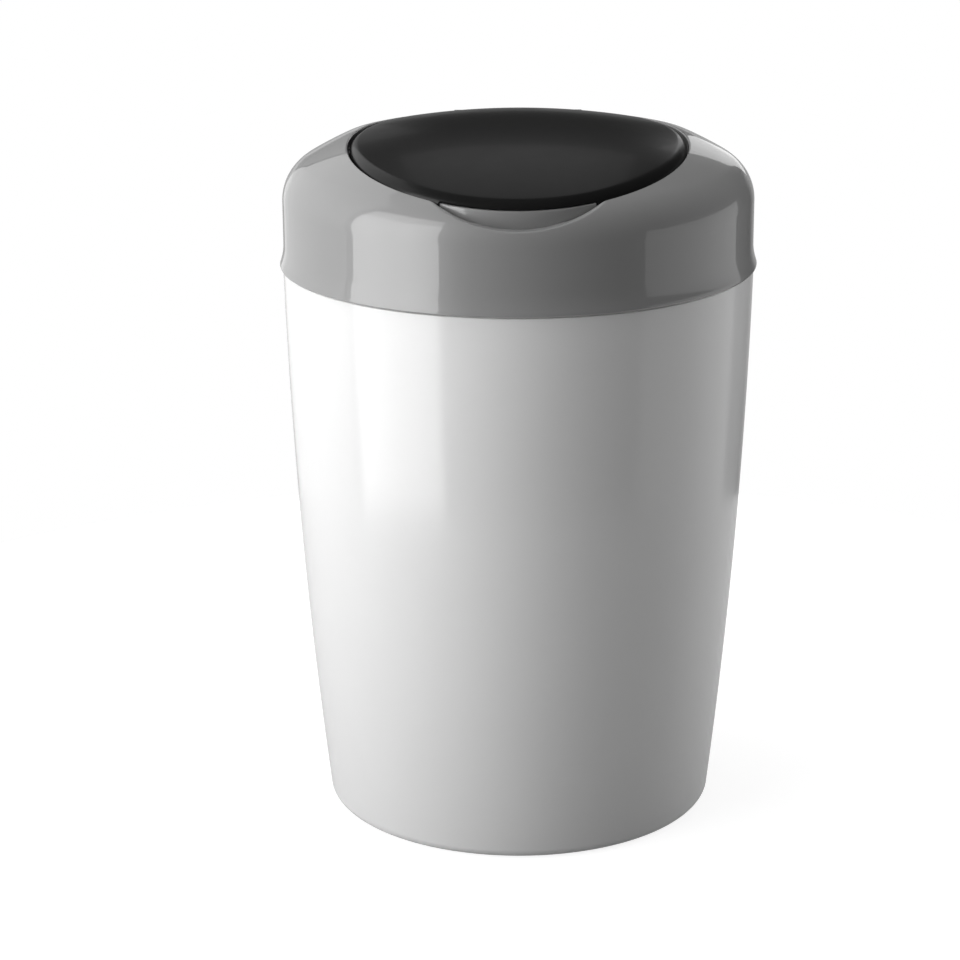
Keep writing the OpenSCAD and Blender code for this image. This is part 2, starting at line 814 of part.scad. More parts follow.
module flap_liner() color([0.24, 0.24, 0.25]) {
    plate_bottom = liner_depth + liner_t;
    boss_h = cutter_screw_l - 1;
    difference() {
        union() {
            crown_slice(liner_inset, liner_depth, plate_bottom);
            // Walls and floor of the flat pad that carries the cutter
            intersection() {
                under_crown(liner_depth + liner_t / 2);
                difference() {
                    translate([-pad_l / 2, flap_y - pad_w / 2, pad_z])
                        cube([pad_l, pad_w, crown_r]);
                    translate([-pad_l / 2 + pad_t, flap_y - pad_w / 2 + pad_t,
                        pad_z + pad_t])
                        cube([pad_l - 2 * pad_t, pad_w - 2 * pad_t, crown_r]);
                }
            }
            cutter_places() translate([0, 0, pad_z])
                cylinder(r = cutter_boss_r, h = boss_h, $fn = 32);
        }
        // The plate is open over the pad
        translate([-pad_l / 2 + pad_t, flap_y - pad_w / 2 + pad_t, pad_z + boss_h])
            cube([pad_l - 2 * pad_t, pad_w - 2 * pad_t, crown_r]);
        cutter_places() translate([0, 0, pad_z - over])
            cylinder(r = cutter_screw_r + pin_clearance, h = cutter_screw_l, $fn = 32);
        ear_notches();
        hinge_rod(knuckle_r + rest_gap, ear_x + ear_t);
    }
}

// What lies behind the pin and further from it than the seal's heel
module seal_heel() {
    heel_y = hinge_y - seal_heel_r * sin(15);
    difference() {
        translate([-knuckle_half_l, heel_y, hinge_z - 2 * seal_heel_r])
            cube([2 * knuckle_half_l, 2 * seal_heel_r, 2 * seal_heel_r]);
        hinge_rod(seal_heel_r, knuckle_half_l + over);
    }
}

module flap_seal() color("black") {
    difference() {
        crown_slice(seal_inset, liner_depth + liner_t + seat_gap, ledge_depth - rest_gap);
        oval_column(seal_inset + seal_w, deck_top, top_z);
        ear_notches();
        hinge_rod(knuckle_r + rest_gap, ear_x + ear_t);
        seal_heel();
    }
}

module hinge_pin() color("silver") {
    hinge_rod(pin_r, ear_x + ear_t - 0.3);
}

// ---- Cutter ----

module cutter_places() {
    for (sx = [-1, 1])
        for (sy = [-1, 1])
            translate([sx * cutter_screw_x, flap_y + sy * cutter_screw_y, 0]) children();
}

module cutter_guard() color("orange") {
    difference() {
        translate([-guard_l / 2, flap_y - guard_w / 2, guard_z])
            cube([guard_l, guard_w, guard_h]);
        // Channel that the slider runs in, closed by the pad above it
        translate([-channel_l / 2, channel_y - channel_w / 2, guard_z + guard_floor])
            cube([channel_l, channel_w, guard_h]);
        // Slot for the thumb piece
        translate([-(cutter_travel + knob_l) / 2 - 0.5, channel_y - knob_w / 2 - slider_gap,
            guard_z - over])
            cube([cutter_travel + knob_l + 1, knob_w + 2 * slider_gap,
                guard_floor + 2 * over]);
        // Throat that the film is drawn into, and the blade's own slot
        translate([-throat_w / 2, flap_y - guard_w / 2 - over, guard_z + guard_floor])
            cube([throat_w, throat_depth + over, throat_h]);
        translate([-channel_l / 2, channel_y - channel_w / 2 - blade_reach - slider_gap,
            blade_z - blade_slot / 2])
            cube([channel_l, blade_reach + over, blade_slot]);
        cutter_places() translate([0, 0, guard_z - over])
            cylinder(r = cutter_screw_r + 3 * pin_clearance, h = guard_h + 2 * over, $fn = 32);
        cutter_places() translate([0, 0, guard_z - over])
            cylinder(r = cutter_head_r + 0.4, h = head_sink + over, $fn = 32);
    }
}

module cutter_slider() color("orangered") {
    low = guard_z + guard_floor + slider_gap;
    difference() {
        union() {
            translate([slider_x - slider_l / 2, channel_y - channel_w / 2 + slider_gap, low])
                cube([slider_l, channel_w - 2 * slider_gap, pad_z - slider_gap - low]);
            translate([slider_x - knob_l / 2, channel_y - knob_w / 2, guard_z - knob_drop])
                cube([knob_l, knob_w, knob_drop + guard_floor + 1]);
            translate([slider_x - knob_l / 2 - 1, channel_y - knob_w / 2 - 1,
                guard_z - knob_drop])
                cube([knob_l + 2, knob_w + 2, 2]);
        }
        translate([slider_x - slider_l / 2 - over, channel_y - channel_w / 2,
            blade_z - blade_t / 2])
            cube([slider_l + 2 * over, blade_grip + slider_gap, blade_t]);
    }
}

module cutter_blade() color("silver") {
    back = channel_y - channel_w / 2 + blade_grip + slider_gap;
    tip = channel_y - channel_w / 2 - blade_reach;
    half = slider_l / 2 - 1;
    translate([slider_x, 0, blade_z - blade_t / 2]) linear_extrude(blade_t)
        polygon([[-half, back], [half, back], [half, tip + half], [-half, tip]]);
}

module cutter_screws() color("silver") {
    cutter_places() translate([0, 0, guard_z + head_sink])
        screw(cutter_screw_r, guard_h - head_sink + cutter_screw_l - 2, cutter_head_r,
            cutter_head_h);
}

tub();
collar();
tray();
tub_seal();
bezel_ring();
tray_screws();
carrier();
cassette_body();
cassette_cover();
film_pack();
gripper();
gripper_retainer();
gripper_screws();
flap_cover();
flap_liner();
flap_seal();
hinge_pin();
cutter_guard();
cutter_slider();
cutter_blade();
cutter_screws();
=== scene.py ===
"""Nappy bin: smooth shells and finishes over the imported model.

Shapes are written in millimetres and put into the meshes in metres. +Z is up, the bin
stands on z = 0 with its axis on Z, and its front faces -Y.
"""
import math

import bpy
import numpy as np
from mathutils import Matrix, Vector


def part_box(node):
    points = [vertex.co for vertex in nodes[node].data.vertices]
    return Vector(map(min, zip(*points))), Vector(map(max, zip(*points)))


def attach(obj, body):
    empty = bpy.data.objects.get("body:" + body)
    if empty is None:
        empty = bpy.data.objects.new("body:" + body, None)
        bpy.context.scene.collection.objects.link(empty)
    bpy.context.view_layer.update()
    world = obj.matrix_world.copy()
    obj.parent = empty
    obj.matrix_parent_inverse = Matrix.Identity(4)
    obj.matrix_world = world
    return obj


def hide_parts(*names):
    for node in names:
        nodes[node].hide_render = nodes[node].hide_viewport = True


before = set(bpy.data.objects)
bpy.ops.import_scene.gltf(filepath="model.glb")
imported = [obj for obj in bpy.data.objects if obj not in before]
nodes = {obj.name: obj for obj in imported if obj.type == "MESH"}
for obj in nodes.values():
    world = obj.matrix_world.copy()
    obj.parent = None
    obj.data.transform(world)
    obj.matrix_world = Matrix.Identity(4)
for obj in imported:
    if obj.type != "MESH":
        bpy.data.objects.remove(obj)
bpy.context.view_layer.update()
MM = 0.001

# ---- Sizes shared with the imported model, in millimetres ----

TUB_BASE_R, TUB_TOP_R, TUB_SIDE_H, TUB_BOW = 103.5, 123.4, 295.4, 3.4
TUB_WALL, TUB_EDGE_R, FLOOR_LIFT, FOOT_W = 2.4, 5.5, 4.0, 8.0
RIB_COUNT, RIB_T, RIB_LIFT, RIB_START_R = 8, 2.0, 0.5, 19.2
NECK_R, NECK_H = 119.0, 26.6
RIM_Z = TUB_SIDE_H + NECK_H
KEY_STAND, KEY_W, KEY_ANGLES = 0.8, 6.0, (90, 210, 330)
LIP_R, LIP_Z, LIP_ROUND = 124.96, 295.8, 1.0
WALL_R, COLLAR_WALL = 123.0, 2.4
FLARE_H, FLARE_R = 12.0, 31.25
SHOULDER_R, SHOULDER_IN, SHOULDER_Z = 24.0, 99.0, 330.3
DOME_R, DOME_Z = 218.0, 163.462
FLAP_HALF_W, FLAP_HALF_L, FLAP_Y = 86.5, 95.5, -20.0
CROWN_R, CROWN_SIDE_R, CROWN_Y, CROWN_Z = 290.0, 400.0, -1.3, 82.9607
FLAP_EDGE_R, FLAP_WALL, SKIRT_DEPTH = 5.0, 2.2, 6.5
WELL_GAP, WELL_WALL, LEDGE_DEPTH, LEDGE_W = 0.9, 2.0, 9.0, 5.5
SCOOP_R, SCOOP_Y, SCOOP_Z = 82.0, -115.0, 419.528
SCOOP_WALL_INSET, SCOOP_WALL_T, SCOOP_WALL_GAP = 0.3, 1.3, 0.8
LIP_HALF_W, LIP_DEPTH = 39.0, 2.4
HINGE_Y, HINGE_Z, KNUCKLE_R, KNUCKLE_HALF = 72.3, 360.156, 3.2, 30.2
EAR_X, EAR_T, EAR_BACK = 30.6, 4.0, 7.0
POCKET_BACK = 77.3
POST_R, POST_CIRCLE_R = 4.0, NECK_R - TUB_WALL - 9.0
POST_ANGLES = (-35, 17, 61, 119, 163, 215)
DECK_TOP, POST_TOP = 325.9, 350.6
CENTRING_GAP, CENTRING_T, CENTRING_LIFT, CENTRING_SUNK = 0.3, 1.6, 3.0, 0.8
CENTRING_PAIR = 2.6  # degrees from a key to the rib on each side of it
CASSETTE_IN_R = 52.0

# ---- How finely the shapes are drawn ----

END_RING_R = 0.8  # the ring round the middle of a post's or a knuckle's flat end
SUNK = 1.0  # how far a key reaches into the tub's own shell
CREASE = 35  # degrees, past which an edge stays sharp
BLOCK_EDGE = 0.3  # taken off every edge of a rib or a key
ARC_STEPS, ARC_SHARE, SUPPORT = 4, 0.4, 1.15  # of a rounded corner: see rounded()
TUB_COLUMNS, FLAP_COLUMNS, FILM_COLUMNS, ROD_COLUMNS, POST_COLUMNS = 320, 480, 240, 48, 32


# ---- Meshes ----

def closed_faces(rows, columns, close_rows):
    """Quads between neighbouring rows and columns. Columns always close into a ring, and
    rows close too when the surface has the form of a tyre."""
    i = np.arange(rows if close_rows else rows - 1)[:, None]
    j = np.arange(columns)[None, :]
    below, right = (i + 1) % rows, (j + 1) % columns
    corners = [i * columns + j, i * columns + right, below * columns + right,
               below * columns + j]
    return np.stack(corners, axis=-1).reshape(-1, 4)


class Piece:
    """Closed shells of one moulded piece, gathered before they become a mesh."""

    def __init__(self):
        self.points, self.faces, self.count = [], [], 0

    def shell(self, grid, close_rows=False):
        """Adds a grid of points (rows, columns, xyz). An open grid gets a centre point at
        each end. The shell's signed volume, the sum of a.(b x c)/6 over its triangles,
        tells whether its faces point outwards; they are turned if it is negative."""
        rows, columns = grid.shape[:2]
        points = grid.reshape(-1, 3)
        quads = closed_faces(rows, columns, close_rows)
        fans = np.zeros((0, 3), int)
        if not close_rows:
            ends = np.stack([grid[0].mean(0), grid[-1].mean(0)])
            first, last = len(points), len(points) + 1
            points = np.concatenate([points, ends])
            j = np.arange(columns)
            right = (j + 1) % columns
            base = (rows - 1) * columns
            fans = np.concatenate([
                np.stack([np.full(columns, first), right, j], axis=1),
                np.stack([np.full(columns, last), base + j, base + right], axis=1)])
        corners = np.concatenate([quads[:, :3], quads[:, [0, 2, 3]], fans])
        a, b, c = (points[corners[:, k]] - points.mean(0) for k in range(3))
        if np.einsum("ij,ij->i", a, np.cross(b, c)).sum() < 0:
            quads, fans = quads[:, ::-1], fans[:, ::-1]
        self.faces += (quads + self.count).tolist() + (fans + self.count).tolist()
        self.points.append(points)
        self.count += len(points)

    def block(self, low, high, turn):
        """A box between two corners with its edges taken off, turned about Z in degrees:
        rings of eight points, drawn in by the edge at the bottom and the top."""
        (x0, y0, z0), (x1, y1, z1) = low, high
        e = BLOCK_EDGE
        rings = []
        for inset, z in ((e, z0), (0, z0 + e), (0, z1 - e), (e, z1)):
            xa, xb, ya, yb = x0 + inset, x1 - inset, y0 + inset, y1 - inset
            rings.append([(xa + e, ya, z), (xb - e, ya, z), (xb, ya + e, z),
                          (xb, yb - e, z), (xb - e, yb, z), (xa + e, yb, z),
                          (xa, yb - e, z), (xa, ya + e, z)])
        t = math.radians(turn)
        about_z = np.array([[math.cos(t), math.sin(t), 0],
                            [-math.sin(t), math.cos(t), 0], [0, 0, 1]])
        self.shell(np.array(rings, float) @ about_z)

    def finish(self, name, body, slot, material, stands_for):
        """Writes the mesh in metres, smooth but for its creases, on the body it rides."""
        mesh = bpy.data.meshes.new(name)
        mesh.from_pydata((np.concatenate(self.points) * MM).tolist(), [], self.faces)
        mesh.polygons.foreach_set("use_smooth", np.ones(len(mesh.polygons), bool))
        mesh.set_sharp_from_angle(angle=math.radians(CREASE))
        mesh.materials.append(material)
        mesh.validate()
        mesh.update()
        piece = bpy.data.objects.new(name, mesh)
        bpy.context.scene.collection.objects.link(piece)
        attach(piece, body)
        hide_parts(*stands_for)


def arc(centre, radius, start, end, steps):
    """Points of an arc from one angle to another, in degrees, ends included."""
    a = np.radians(np.linspace(start, end, steps + 1))
    return np.stack([centre[0] + radius * np.cos(a), centre[1] + radius * np.sin(a)], 1)


def rounded(outline, radius):
    """An open outline of (r, z) corners with every inner corner rounded by an arc. Each
    arc starts and ends on its two sides and takes up only a share of the shorter one. A
    support point beside each end, a little further out, keeps the flat sides flat."""
    outline = np.array(outline, float)
    out = [outline[:1]]
    for before, corner, after in zip(outline[:-2], outline[1:-1], outline[2:]):
        u = (before - corner) / np.linalg.norm(before - corner)
        v = (after - corner) / np.linalg.norm(after - corner)
        half = math.acos(float(np.clip(u @ v, -1, 1))) / 2
        reach = min(radius / math.tan(half), ARC_SHARE * min(
            np.linalg.norm(before - corner), np.linalg.norm(after - corner)))
        r = reach * math.tan(half)
        middle = corner + (u + v) / np.linalg.norm(u + v) * r / math.sin(half)
        t = np.linspace(0, 1, ARC_STEPS + 1)[:, None]
        chord = (corner + u * reach) * (1 - t) + (corner + v * reach) * t - middle
        bend = middle + chord / np.linalg.norm(chord, axis=1)[:, None] * r
        out += [corner[None] + u * reach * SUPPORT, bend,
                corner[None] + v * reach * SUPPORT]
    out.append(outline[-1:])
    return np.concatenate(out)


def turned(profile, columns):
    """A profile of (r, z) swept once round the Z axis."""
    a = np.linspace(0, 2 * np.pi, columns, endpoint=False)
    r, z = profile[:, 0][:, None], profile[:, 1][:, None]
    return np.stack([r * np.cos(a), r * np.sin(a), z + 0 * a], axis=-1)


def soft_min(a, b, k):
    """The lower of two heights, blended over k where they cross."""
    h = np.clip(0.5 + 0.5 * (b - a) / k, 0, 1)
    return b * (1 - h) + a * h - k * h * (1 - h)


# ---- Node groups ----

def new_group(name, inputs, outputs):
    """A node group with named sockets. Gives the group, the sockets that its inputs come
    in by and the ones that its results go out by."""
    group = bpy.data.node_groups.new(name, "ShaderNodeTree")
    for label, kind, value in inputs:
        socket = group.interface.new_socket(label, in_out="INPUT", socket_type=kind)
        socket.default_value = value
    for label, kind in outputs:
        group.interface.new_socket(label, in_out="OUTPUT", socket_type=kind)
    return (group, group.nodes.new("NodeGroupInput").outputs,
            group.nodes.new("NodeGroupOutput").inputs)


def node(tree, kind, links=None, **settings):
    """A node with its settings, and its inputs linked to sockets or set to values."""
    made = tree.nodes.new("ShaderNode" + kind)
    for key, value in settings.items():
        setattr(made, key, value)
    for key, value in (links or {}).items():
        if isinstance(value, bpy.types.NodeSocket):
            tree.links.new(value, made.inputs[key])
        else:
            made.inputs[key].default_value = value
    return made


def spread(tree, value, low, high, to_low, to_high):
    """A value moved from one range to another and held inside it."""
    return node(tree, "MapRange", {"Value": value, "From Min": low, "From Max": high,
                                   "To Min": to_low, "To Max": to_high}).outputs["Result"]


FLOAT, COLOUR, VECTOR = "NodeSocketFloat", "NodeSocketColor", "NodeSocketVector"


def make_moulded_skin():
    """Injection-moulded plastic: slow flow mottle in the colour, patches of higher and
    lower gloss, and a fine tool texture with faint long waves in the normal."""
    group, ins, outs = new_group(
        "moulded skin",
        [("Colour", COLOUR, (0.5, 0.5, 0.5, 1)), ("Mottle", FLOAT, 0.03),
         ("Roughness", FLOAT, 0.25), ("Gloss Patch", FLOAT, 0.05), ("Grain", FLOAT, 0.02),
         ("Grain Scale", FLOAT, 1800.0), ("Wave", FLOAT, 0.01)],
        [("Colour", COLOUR), ("Roughness", FLOAT), ("Normal", VECTOR)])
    place = node(group, "TexCoord").outputs["Object"]
    flow = node(group, "TexNoise", {"Vector": place, "Scale": 14.0, "Detail": 4.0,
                                    "Roughness": 0.55, "Distortion": 0.6}).outputs["Fac"]
    gloss = node(group, "TexNoise", {"Vector": place, "Scale": 55.0, "Detail": 3.0,
                                     "Roughness": 0.6}).outputs["Fac"]
    grain = node(group, "TexNoise", {"Vector": place, "Scale": ins["Grain Scale"],
                                     "Detail": 2.0}).outputs["Fac"]
    shade = spread(group, flow, 0.3, 0.7, -1.0, 1.0)
    lift = node(group, "Math", {0: shade, 1: ins["Mottle"]}, operation="MULTIPLY").outputs[0]
    factor = node(group, "Math", {0: lift, 1: 1.0}, operation="ADD").outputs[0]
    scaled = node(group, "VectorMath", {0: ins["Colour"]}, operation="SCALE")
    group.links.new(factor, scaled.inputs["Scale"])
    patch = spread(group, gloss, 0.3, 0.7, -1.0, 1.0)
    patch = node(group, "Math", {0: patch, 1: ins["Gloss Patch"], 2: ins["Roughness"]},
                 operation="MULTIPLY_ADD").outputs[0]
    fine = node(group, "Bump", {"Strength": ins["Grain"], "Distance": 0.0002,
                                "Height": grain}).outputs["Normal"]
    broad = node(group, "Bump", {"Strength": ins["Wave"], "Distance": 0.004,
                                 "Height": flow, "Normal": fine}).outputs["Normal"]
    group.links.new(scaled.outputs[0], outs["Colour"])
    group.links.new(patch, outs["Roughness"])
    group.links.new(broad, outs["Normal"])
    return group


def make_rub_marks():
    """Hairline scuffs from wiping and handling: noise stretched into long streaks, kept
    only where a slower noise is high. Puts out a mask."""
    group, ins, outs = new_group(
        "rub marks", [("Turn", FLOAT, 0.4), ("Amount", FLOAT, 0.3)], [("Mask", FLOAT)])
    place = node(group, "TexCoord").outputs["Object"]
    turn = node(group, "VectorRotate", {"Vector": place, "Angle": ins["Turn"]},
                rotation_type="Y_AXIS").outputs[0]
    long = node(group, "Mapping", {"Vector": turn, "Scale": (14.0, 14.0, 900.0)}).outputs[0]
    streak = node(group, "TexNoise", {"Vector": long, "Scale": 1.0, "Detail": 2.0,
                                      "Roughness": 0.7}).outputs["Fac"]
    where = node(group, "TexNoise", {"Vector": place, "Scale": 11.0,
                                     "Detail": 2.0}).outputs["Fac"]
    streak = spread(group, streak, 0.6, 0.72, 0.0, 1.0)
    where = spread(group, where, 0.5, 0.68, 0.0, 1.0)
    both = node(group, "Math", {0: streak, 1: where}, operation="MULTIPLY").outputs[0]
    both = node(group, "Math", {0: both, 1: ins["Amount"]}, operation="MULTIPLY").outputs[0]
    group.links.new(both, outs["Mask"])
    return group


def make_settled_dust():
    """Pale dust in specks on surfaces that face up. Puts out a mask."""
    group, ins, outs = new_group("settled dust", [("Amount", FLOAT, 0.2)], [("Mask", FLOAT)])
    place = node(group, "TexCoord").outputs["Object"]
    facing = node(group, "SeparateXYZ",
                  {0: node(group, "NewGeometry").outputs["Normal"]}).outputs["Z"]
    specks = node(group, "TexNoise", {"Vector": place, "Scale": 420.0, "Detail": 4.0,
                                      "Roughness": 0.8}).outputs["Fac"]
    up = spread(group, facing, 0.75, 1.0, 0.0, 1.0)
    specks = spread(group, specks, 0.5, 0.75, 0.0, 1.0)
    both = node(group, "Math", {0: up, 1: specks}, operation="MULTIPLY").outputs[0]
    both = node(group, "Math", {0: both, 1: ins["Amount"]}, operation="MULTIPLY").outputs[0]
    group.links.new(both, outs["Mask"])
    return group


def make_worked_steel():
    """Rolled and plated steel: fine streaks one way, and cloudy plating."""
    group, ins, outs = new_group(
        "worked steel",
        [("Colour", COLOUR, (0.6, 0.6, 0.6, 1)), ("Roughness", FLOAT, 0.3),
         ("Streaks", VECTOR, (30.0, 900.0, 900.0))],
        [("Colour", COLOUR), ("Roughness", FLOAT), ("Normal", VECTOR)])
    place = node(group, "TexCoord").outputs["Object"]
    long = node(group, "VectorMath", {0: place, 1: ins["Streaks"]},
                operation="MULTIPLY").outputs[0]
    streak = node(group, "TexNoise", {"Vector": long, "Scale": 3.0, "Detail": 3.0}).outputs["Fac"]
    cloud = node(group, "TexNoise", {"Vector": place, "Scale": 160.0, "Detail": 3.0}).outputs["Fac"]
    factor = spread(group, cloud, 0.3, 0.7, 0.86, 1.08)
    scaled = node(group, "VectorMath", {0: ins["Colour"]}, operation="SCALE")
    group.links.new(factor, scaled.inputs["Scale"])
    rough = node(group, "Math", {0: spread(group, streak, 0.3, 0.7, -0.08, 0.1),
                                 1: ins["Roughness"]}, operation="ADD").outputs[0]
    bump = node(group, "Bump", {"Strength": 0.15, "Distance": 0.0001,
                                "Height": streak}).outputs["Normal"]
    group.links.new(scaled.outputs[0], outs["Colour"])
    group.links.new(rough, outs["Roughness"])
    group.links.new(bump, outs["Normal"])
    return group


MOULDED_SKIN = make_moulded_skin()
RUB_MARKS = make_rub_marks()
SETTLED_DUST = make_settled_dust()
WORKED_STEEL = make_worked_steel()


# ---- Finishes ----

def grey(level, tint=(1.0, 1.0, 1.0)):
    """A display grey of 0 to 255 as a linear colour, times a tint."""
    s = level / 255
    value = s / 12.92 if s <= 0.04045 else ((s + 0.055) / 1.055) ** 2.4
    return (value * tint[0], value * tint[1], value * tint[2], 1.0)


def blank_material(name):
    """A material that holds a Principled shader and nothing else."""
    material = bpy.data.materials.new(name)
    material.use_nodes = True
    tree = material.node_tree
    tree.nodes.clear()
    shader = tree.nodes.new("ShaderNodeBsdfPrincipled")
    out = tree.nodes.new("ShaderNodeOutputMaterial")
    tree.links.new(shader.outputs[0], out.inputs["Surface"])
    return material, tree, shader


def place_group(tree, group, **values):
    """Puts a node group into a material. An underscore in a value's name stands for the
    space in its socket's name."""
    made = tree.nodes.new("ShaderNodeGroup")
    made.node_tree = group
    for key, value in values.items():
        made.inputs[key.replace("_", " ")].default_value = value
    return made


RUB_TURN = 0.4  # radians, the way that the bin is wiped
RUB_DULLS, DUST_DULLS = 0.22, 0.5
DUST_COLOUR = grey(196, (1.0, 0.99, 0.97))
SOFT_DEPTH, SOFT_TINT = 0.004, (1.0, 0.9, 0.8)


def moulded(name, colour, roughness, mottle=0.02, patch=0.03, grain=0.03,
            grain_scale=1800.0, wave=0.004, rub=0.25, dust=0.05, coat=0.0,
            coat_roughness=0.05, specular=0.5, subsurface=0.0):
    """A moulded plastic: skin, rub marks that dull it, and a little dust on its tops."""
    material, tree, shader = blank_material(name)
    skin = place_group(tree, MOULDED_SKIN, Colour=colour, Mottle=mottle,
                       Roughness=roughness, Gloss_Patch=patch, Grain=grain,
                       Grain_Scale=grain_scale, Wave=wave)
    marks = place_group(tree, RUB_MARKS, Turn=RUB_TURN, Amount=rub)
    dusty = place_group(tree, SETTLED_DUST, Amount=dust)
    tone = node(tree, "Mix", {"Factor": dusty.outputs["Mask"], "A": skin.outputs["Colour"],
                              "B": DUST_COLOUR}, data_type="RGBA")
    dull = node(tree, "Math", {0: marks.outputs["Mask"], 1: RUB_DULLS,
                               2: skin.outputs["Roughness"]}, operation="MULTIPLY_ADD")
    dull = node(tree, "Math", {0: dusty.outputs["Mask"], 1: DUST_DULLS,
                               2: dull.outputs[0]}, operation="MULTIPLY_ADD", use_clamp=True)
    tree.links.new(tone.outputs["Result"], shader.inputs["Base Color"])
    tree.links.new(dull.outputs[0], shader.inputs["Roughness"])
    tree.links.new(skin.outputs["Normal"], shader.inputs["Normal"])
    for socket, value in (("Coat Weight", coat), ("Coat Roughness", coat_roughness),
                          ("Specular IOR Level", specular),
                          ("Subsurface Weight", subsurface),
                          ("Subsurface Scale", SOFT_DEPTH), ("Subsurface Radius", SOFT_TINT)):
        shader.inputs[socket].default_value = value
    return material


def steel(name, colour, roughness, streaks):
    """Bare or plated steel with streaks, which run along the axis of the least scale."""
    material, tree, shader = blank_material(name)
    worked = place_group(tree, WORKED_STEEL, Colour=colour, Roughness=roughness,
                         Streaks=streaks)
    for output, socket in (("Colour", "Base Color"), ("Roughness", "Roughness"),
                           ("Normal", "Normal")):
        tree.links.new(worked.outputs[output], shader.inputs[socket])
    shader.inputs["Metallic"].default_value = 1.0
    return material


# The renderer's noise filter takes a surface for matt past a roughness of about 0.27, and
# leaves specks where gloss wavers across that, so each broad surface stays on one side.
white_plastic = moulded("white gloss plastic", grey(232), 0.16, mottle=0.006, patch=0.02,
                        grain=0.02, wave=0.002, rub=0.12, dust=0.0)
grey_plastic = moulded("grey gloss plastic", grey(143), 0.34, mottle=0.008, patch=0.02,
                       grain=0.03, wave=0.002, rub=0.05, dust=0.015, coat=0.9,
                       coat_roughness=0.04, specular=0.5)
charcoal_plastic = moulded("charcoal gloss plastic", grey(20), 0.3, mottle=0.02,
                           patch=0.02, grain=0.03, wave=0.002, rub=0.0, dust=0.0,
                           coat=0.1, coat_roughness=0.08, specular=0.3)
liner_plastic = moulded("liner plastic", grey(62), 0.45, grain=0.25, grain_scale=1400.0,
                        rub=0.4, dust=0.0)
inner_grey_plastic = moulded("inner grey plastic", grey(118), 0.42, grain=0.2,
                             grain_scale=1400.0, rub=0.4, dust=0.12)
carrier_plastic = moulded("carrier plastic", grey(178), 0.38, grain=0.2, rub=0.5, dust=0.1)
cassette_plastic = moulded("cassette plastic", grey(226, (0.97, 1.0, 0.98)), 0.31,
                           mottle=0.02, rub=0.3, dust=0.03, subsurface=0.5)
film_plastic = moulded("film", grey(214, (0.95, 1.0, 0.98)), 0.2, mottle=0.05, patch=0.06,
                       grain=0.3, grain_scale=500.0, wave=0.05, rub=0.0, dust=0.0,
                       subsurface=0.4)
seal_rubber = moulded("seal rubber", grey(44), 0.62, mottle=0.08, patch=0.06, grain=0.4,
                      grain_scale=2400.0, rub=0.3, dust=0.25, specular=0.35)
cutter_plastic = moulded("cutter plastic", (0.78, 0.24, 0.035, 1), 0.34, mottle=0.02,
                         grain=0.12, rub=0.5, dust=0.05)
blade_steel = steel("blade steel", grey(205), 0.2, (900.0, 30.0, 900.0))
screw_steel = steel("plated screw steel", grey(188, (1.0, 0.99, 0.95)), 0.3,
                    (500.0, 500.0, 60.0))

NODE_FINISH = {
    "tray": inner_grey_plastic, "tub_seal": seal_rubber, "bezel_ring": inner_grey_plastic,
    "tray_screws": screw_steel, "carrier": carrier_plastic,
    "cassette_body": cassette_plastic, "cassette_cover": cassette_plastic,
    "film_pack": film_plastic, "gripper": seal_rubber,
    "gripper_retainer": inner_grey_plastic, "gripper_screws": screw_steel,
    "flap_liner": liner_plastic, "flap_seal": seal_rubber, "hinge_pin": screw_steel,
    "cutter_guard": cutter_plastic, "cutter_slider": cutter_plastic,
    "cutter_blade": blade_steel, "cutter_screws": screw_steel,
    "tub": white_plastic, "collar": grey_plastic, "flap_cover": charcoal_plastic,
}
for name, finish in NODE_FINISH.items():
    materials = nodes[name].data.materials
    materials.clear()
    materials.append(finish)


# ---- Tub ----

FOOT_ROUND, RIM_ROUND = 0.6, 0.7
CENTRE_R, POLE_R = 20.0, 5.0  # rings that keep the flat floor flat
INSIDE_TOP = 276.0  # where the inner side ends and the step under the neck begins


def tub_side_r(z):
    """Radius of the side: a straight cone with an even outward bow, highest half way up."""
    f = z / TUB_SIDE_H
    return TUB_BASE_R + (TUB_TOP_R - TUB_BASE_R) * f + TUB_BOW * 4 * f * (1 - f)


def side_rows(inset, low, high, count):
    """Points (r, z) of the bowed side between two heights, drawn in by an inset."""
    z = np.linspace(low, high, count)
    return np.stack([tub_side_r(z) - inset, z], axis=1)


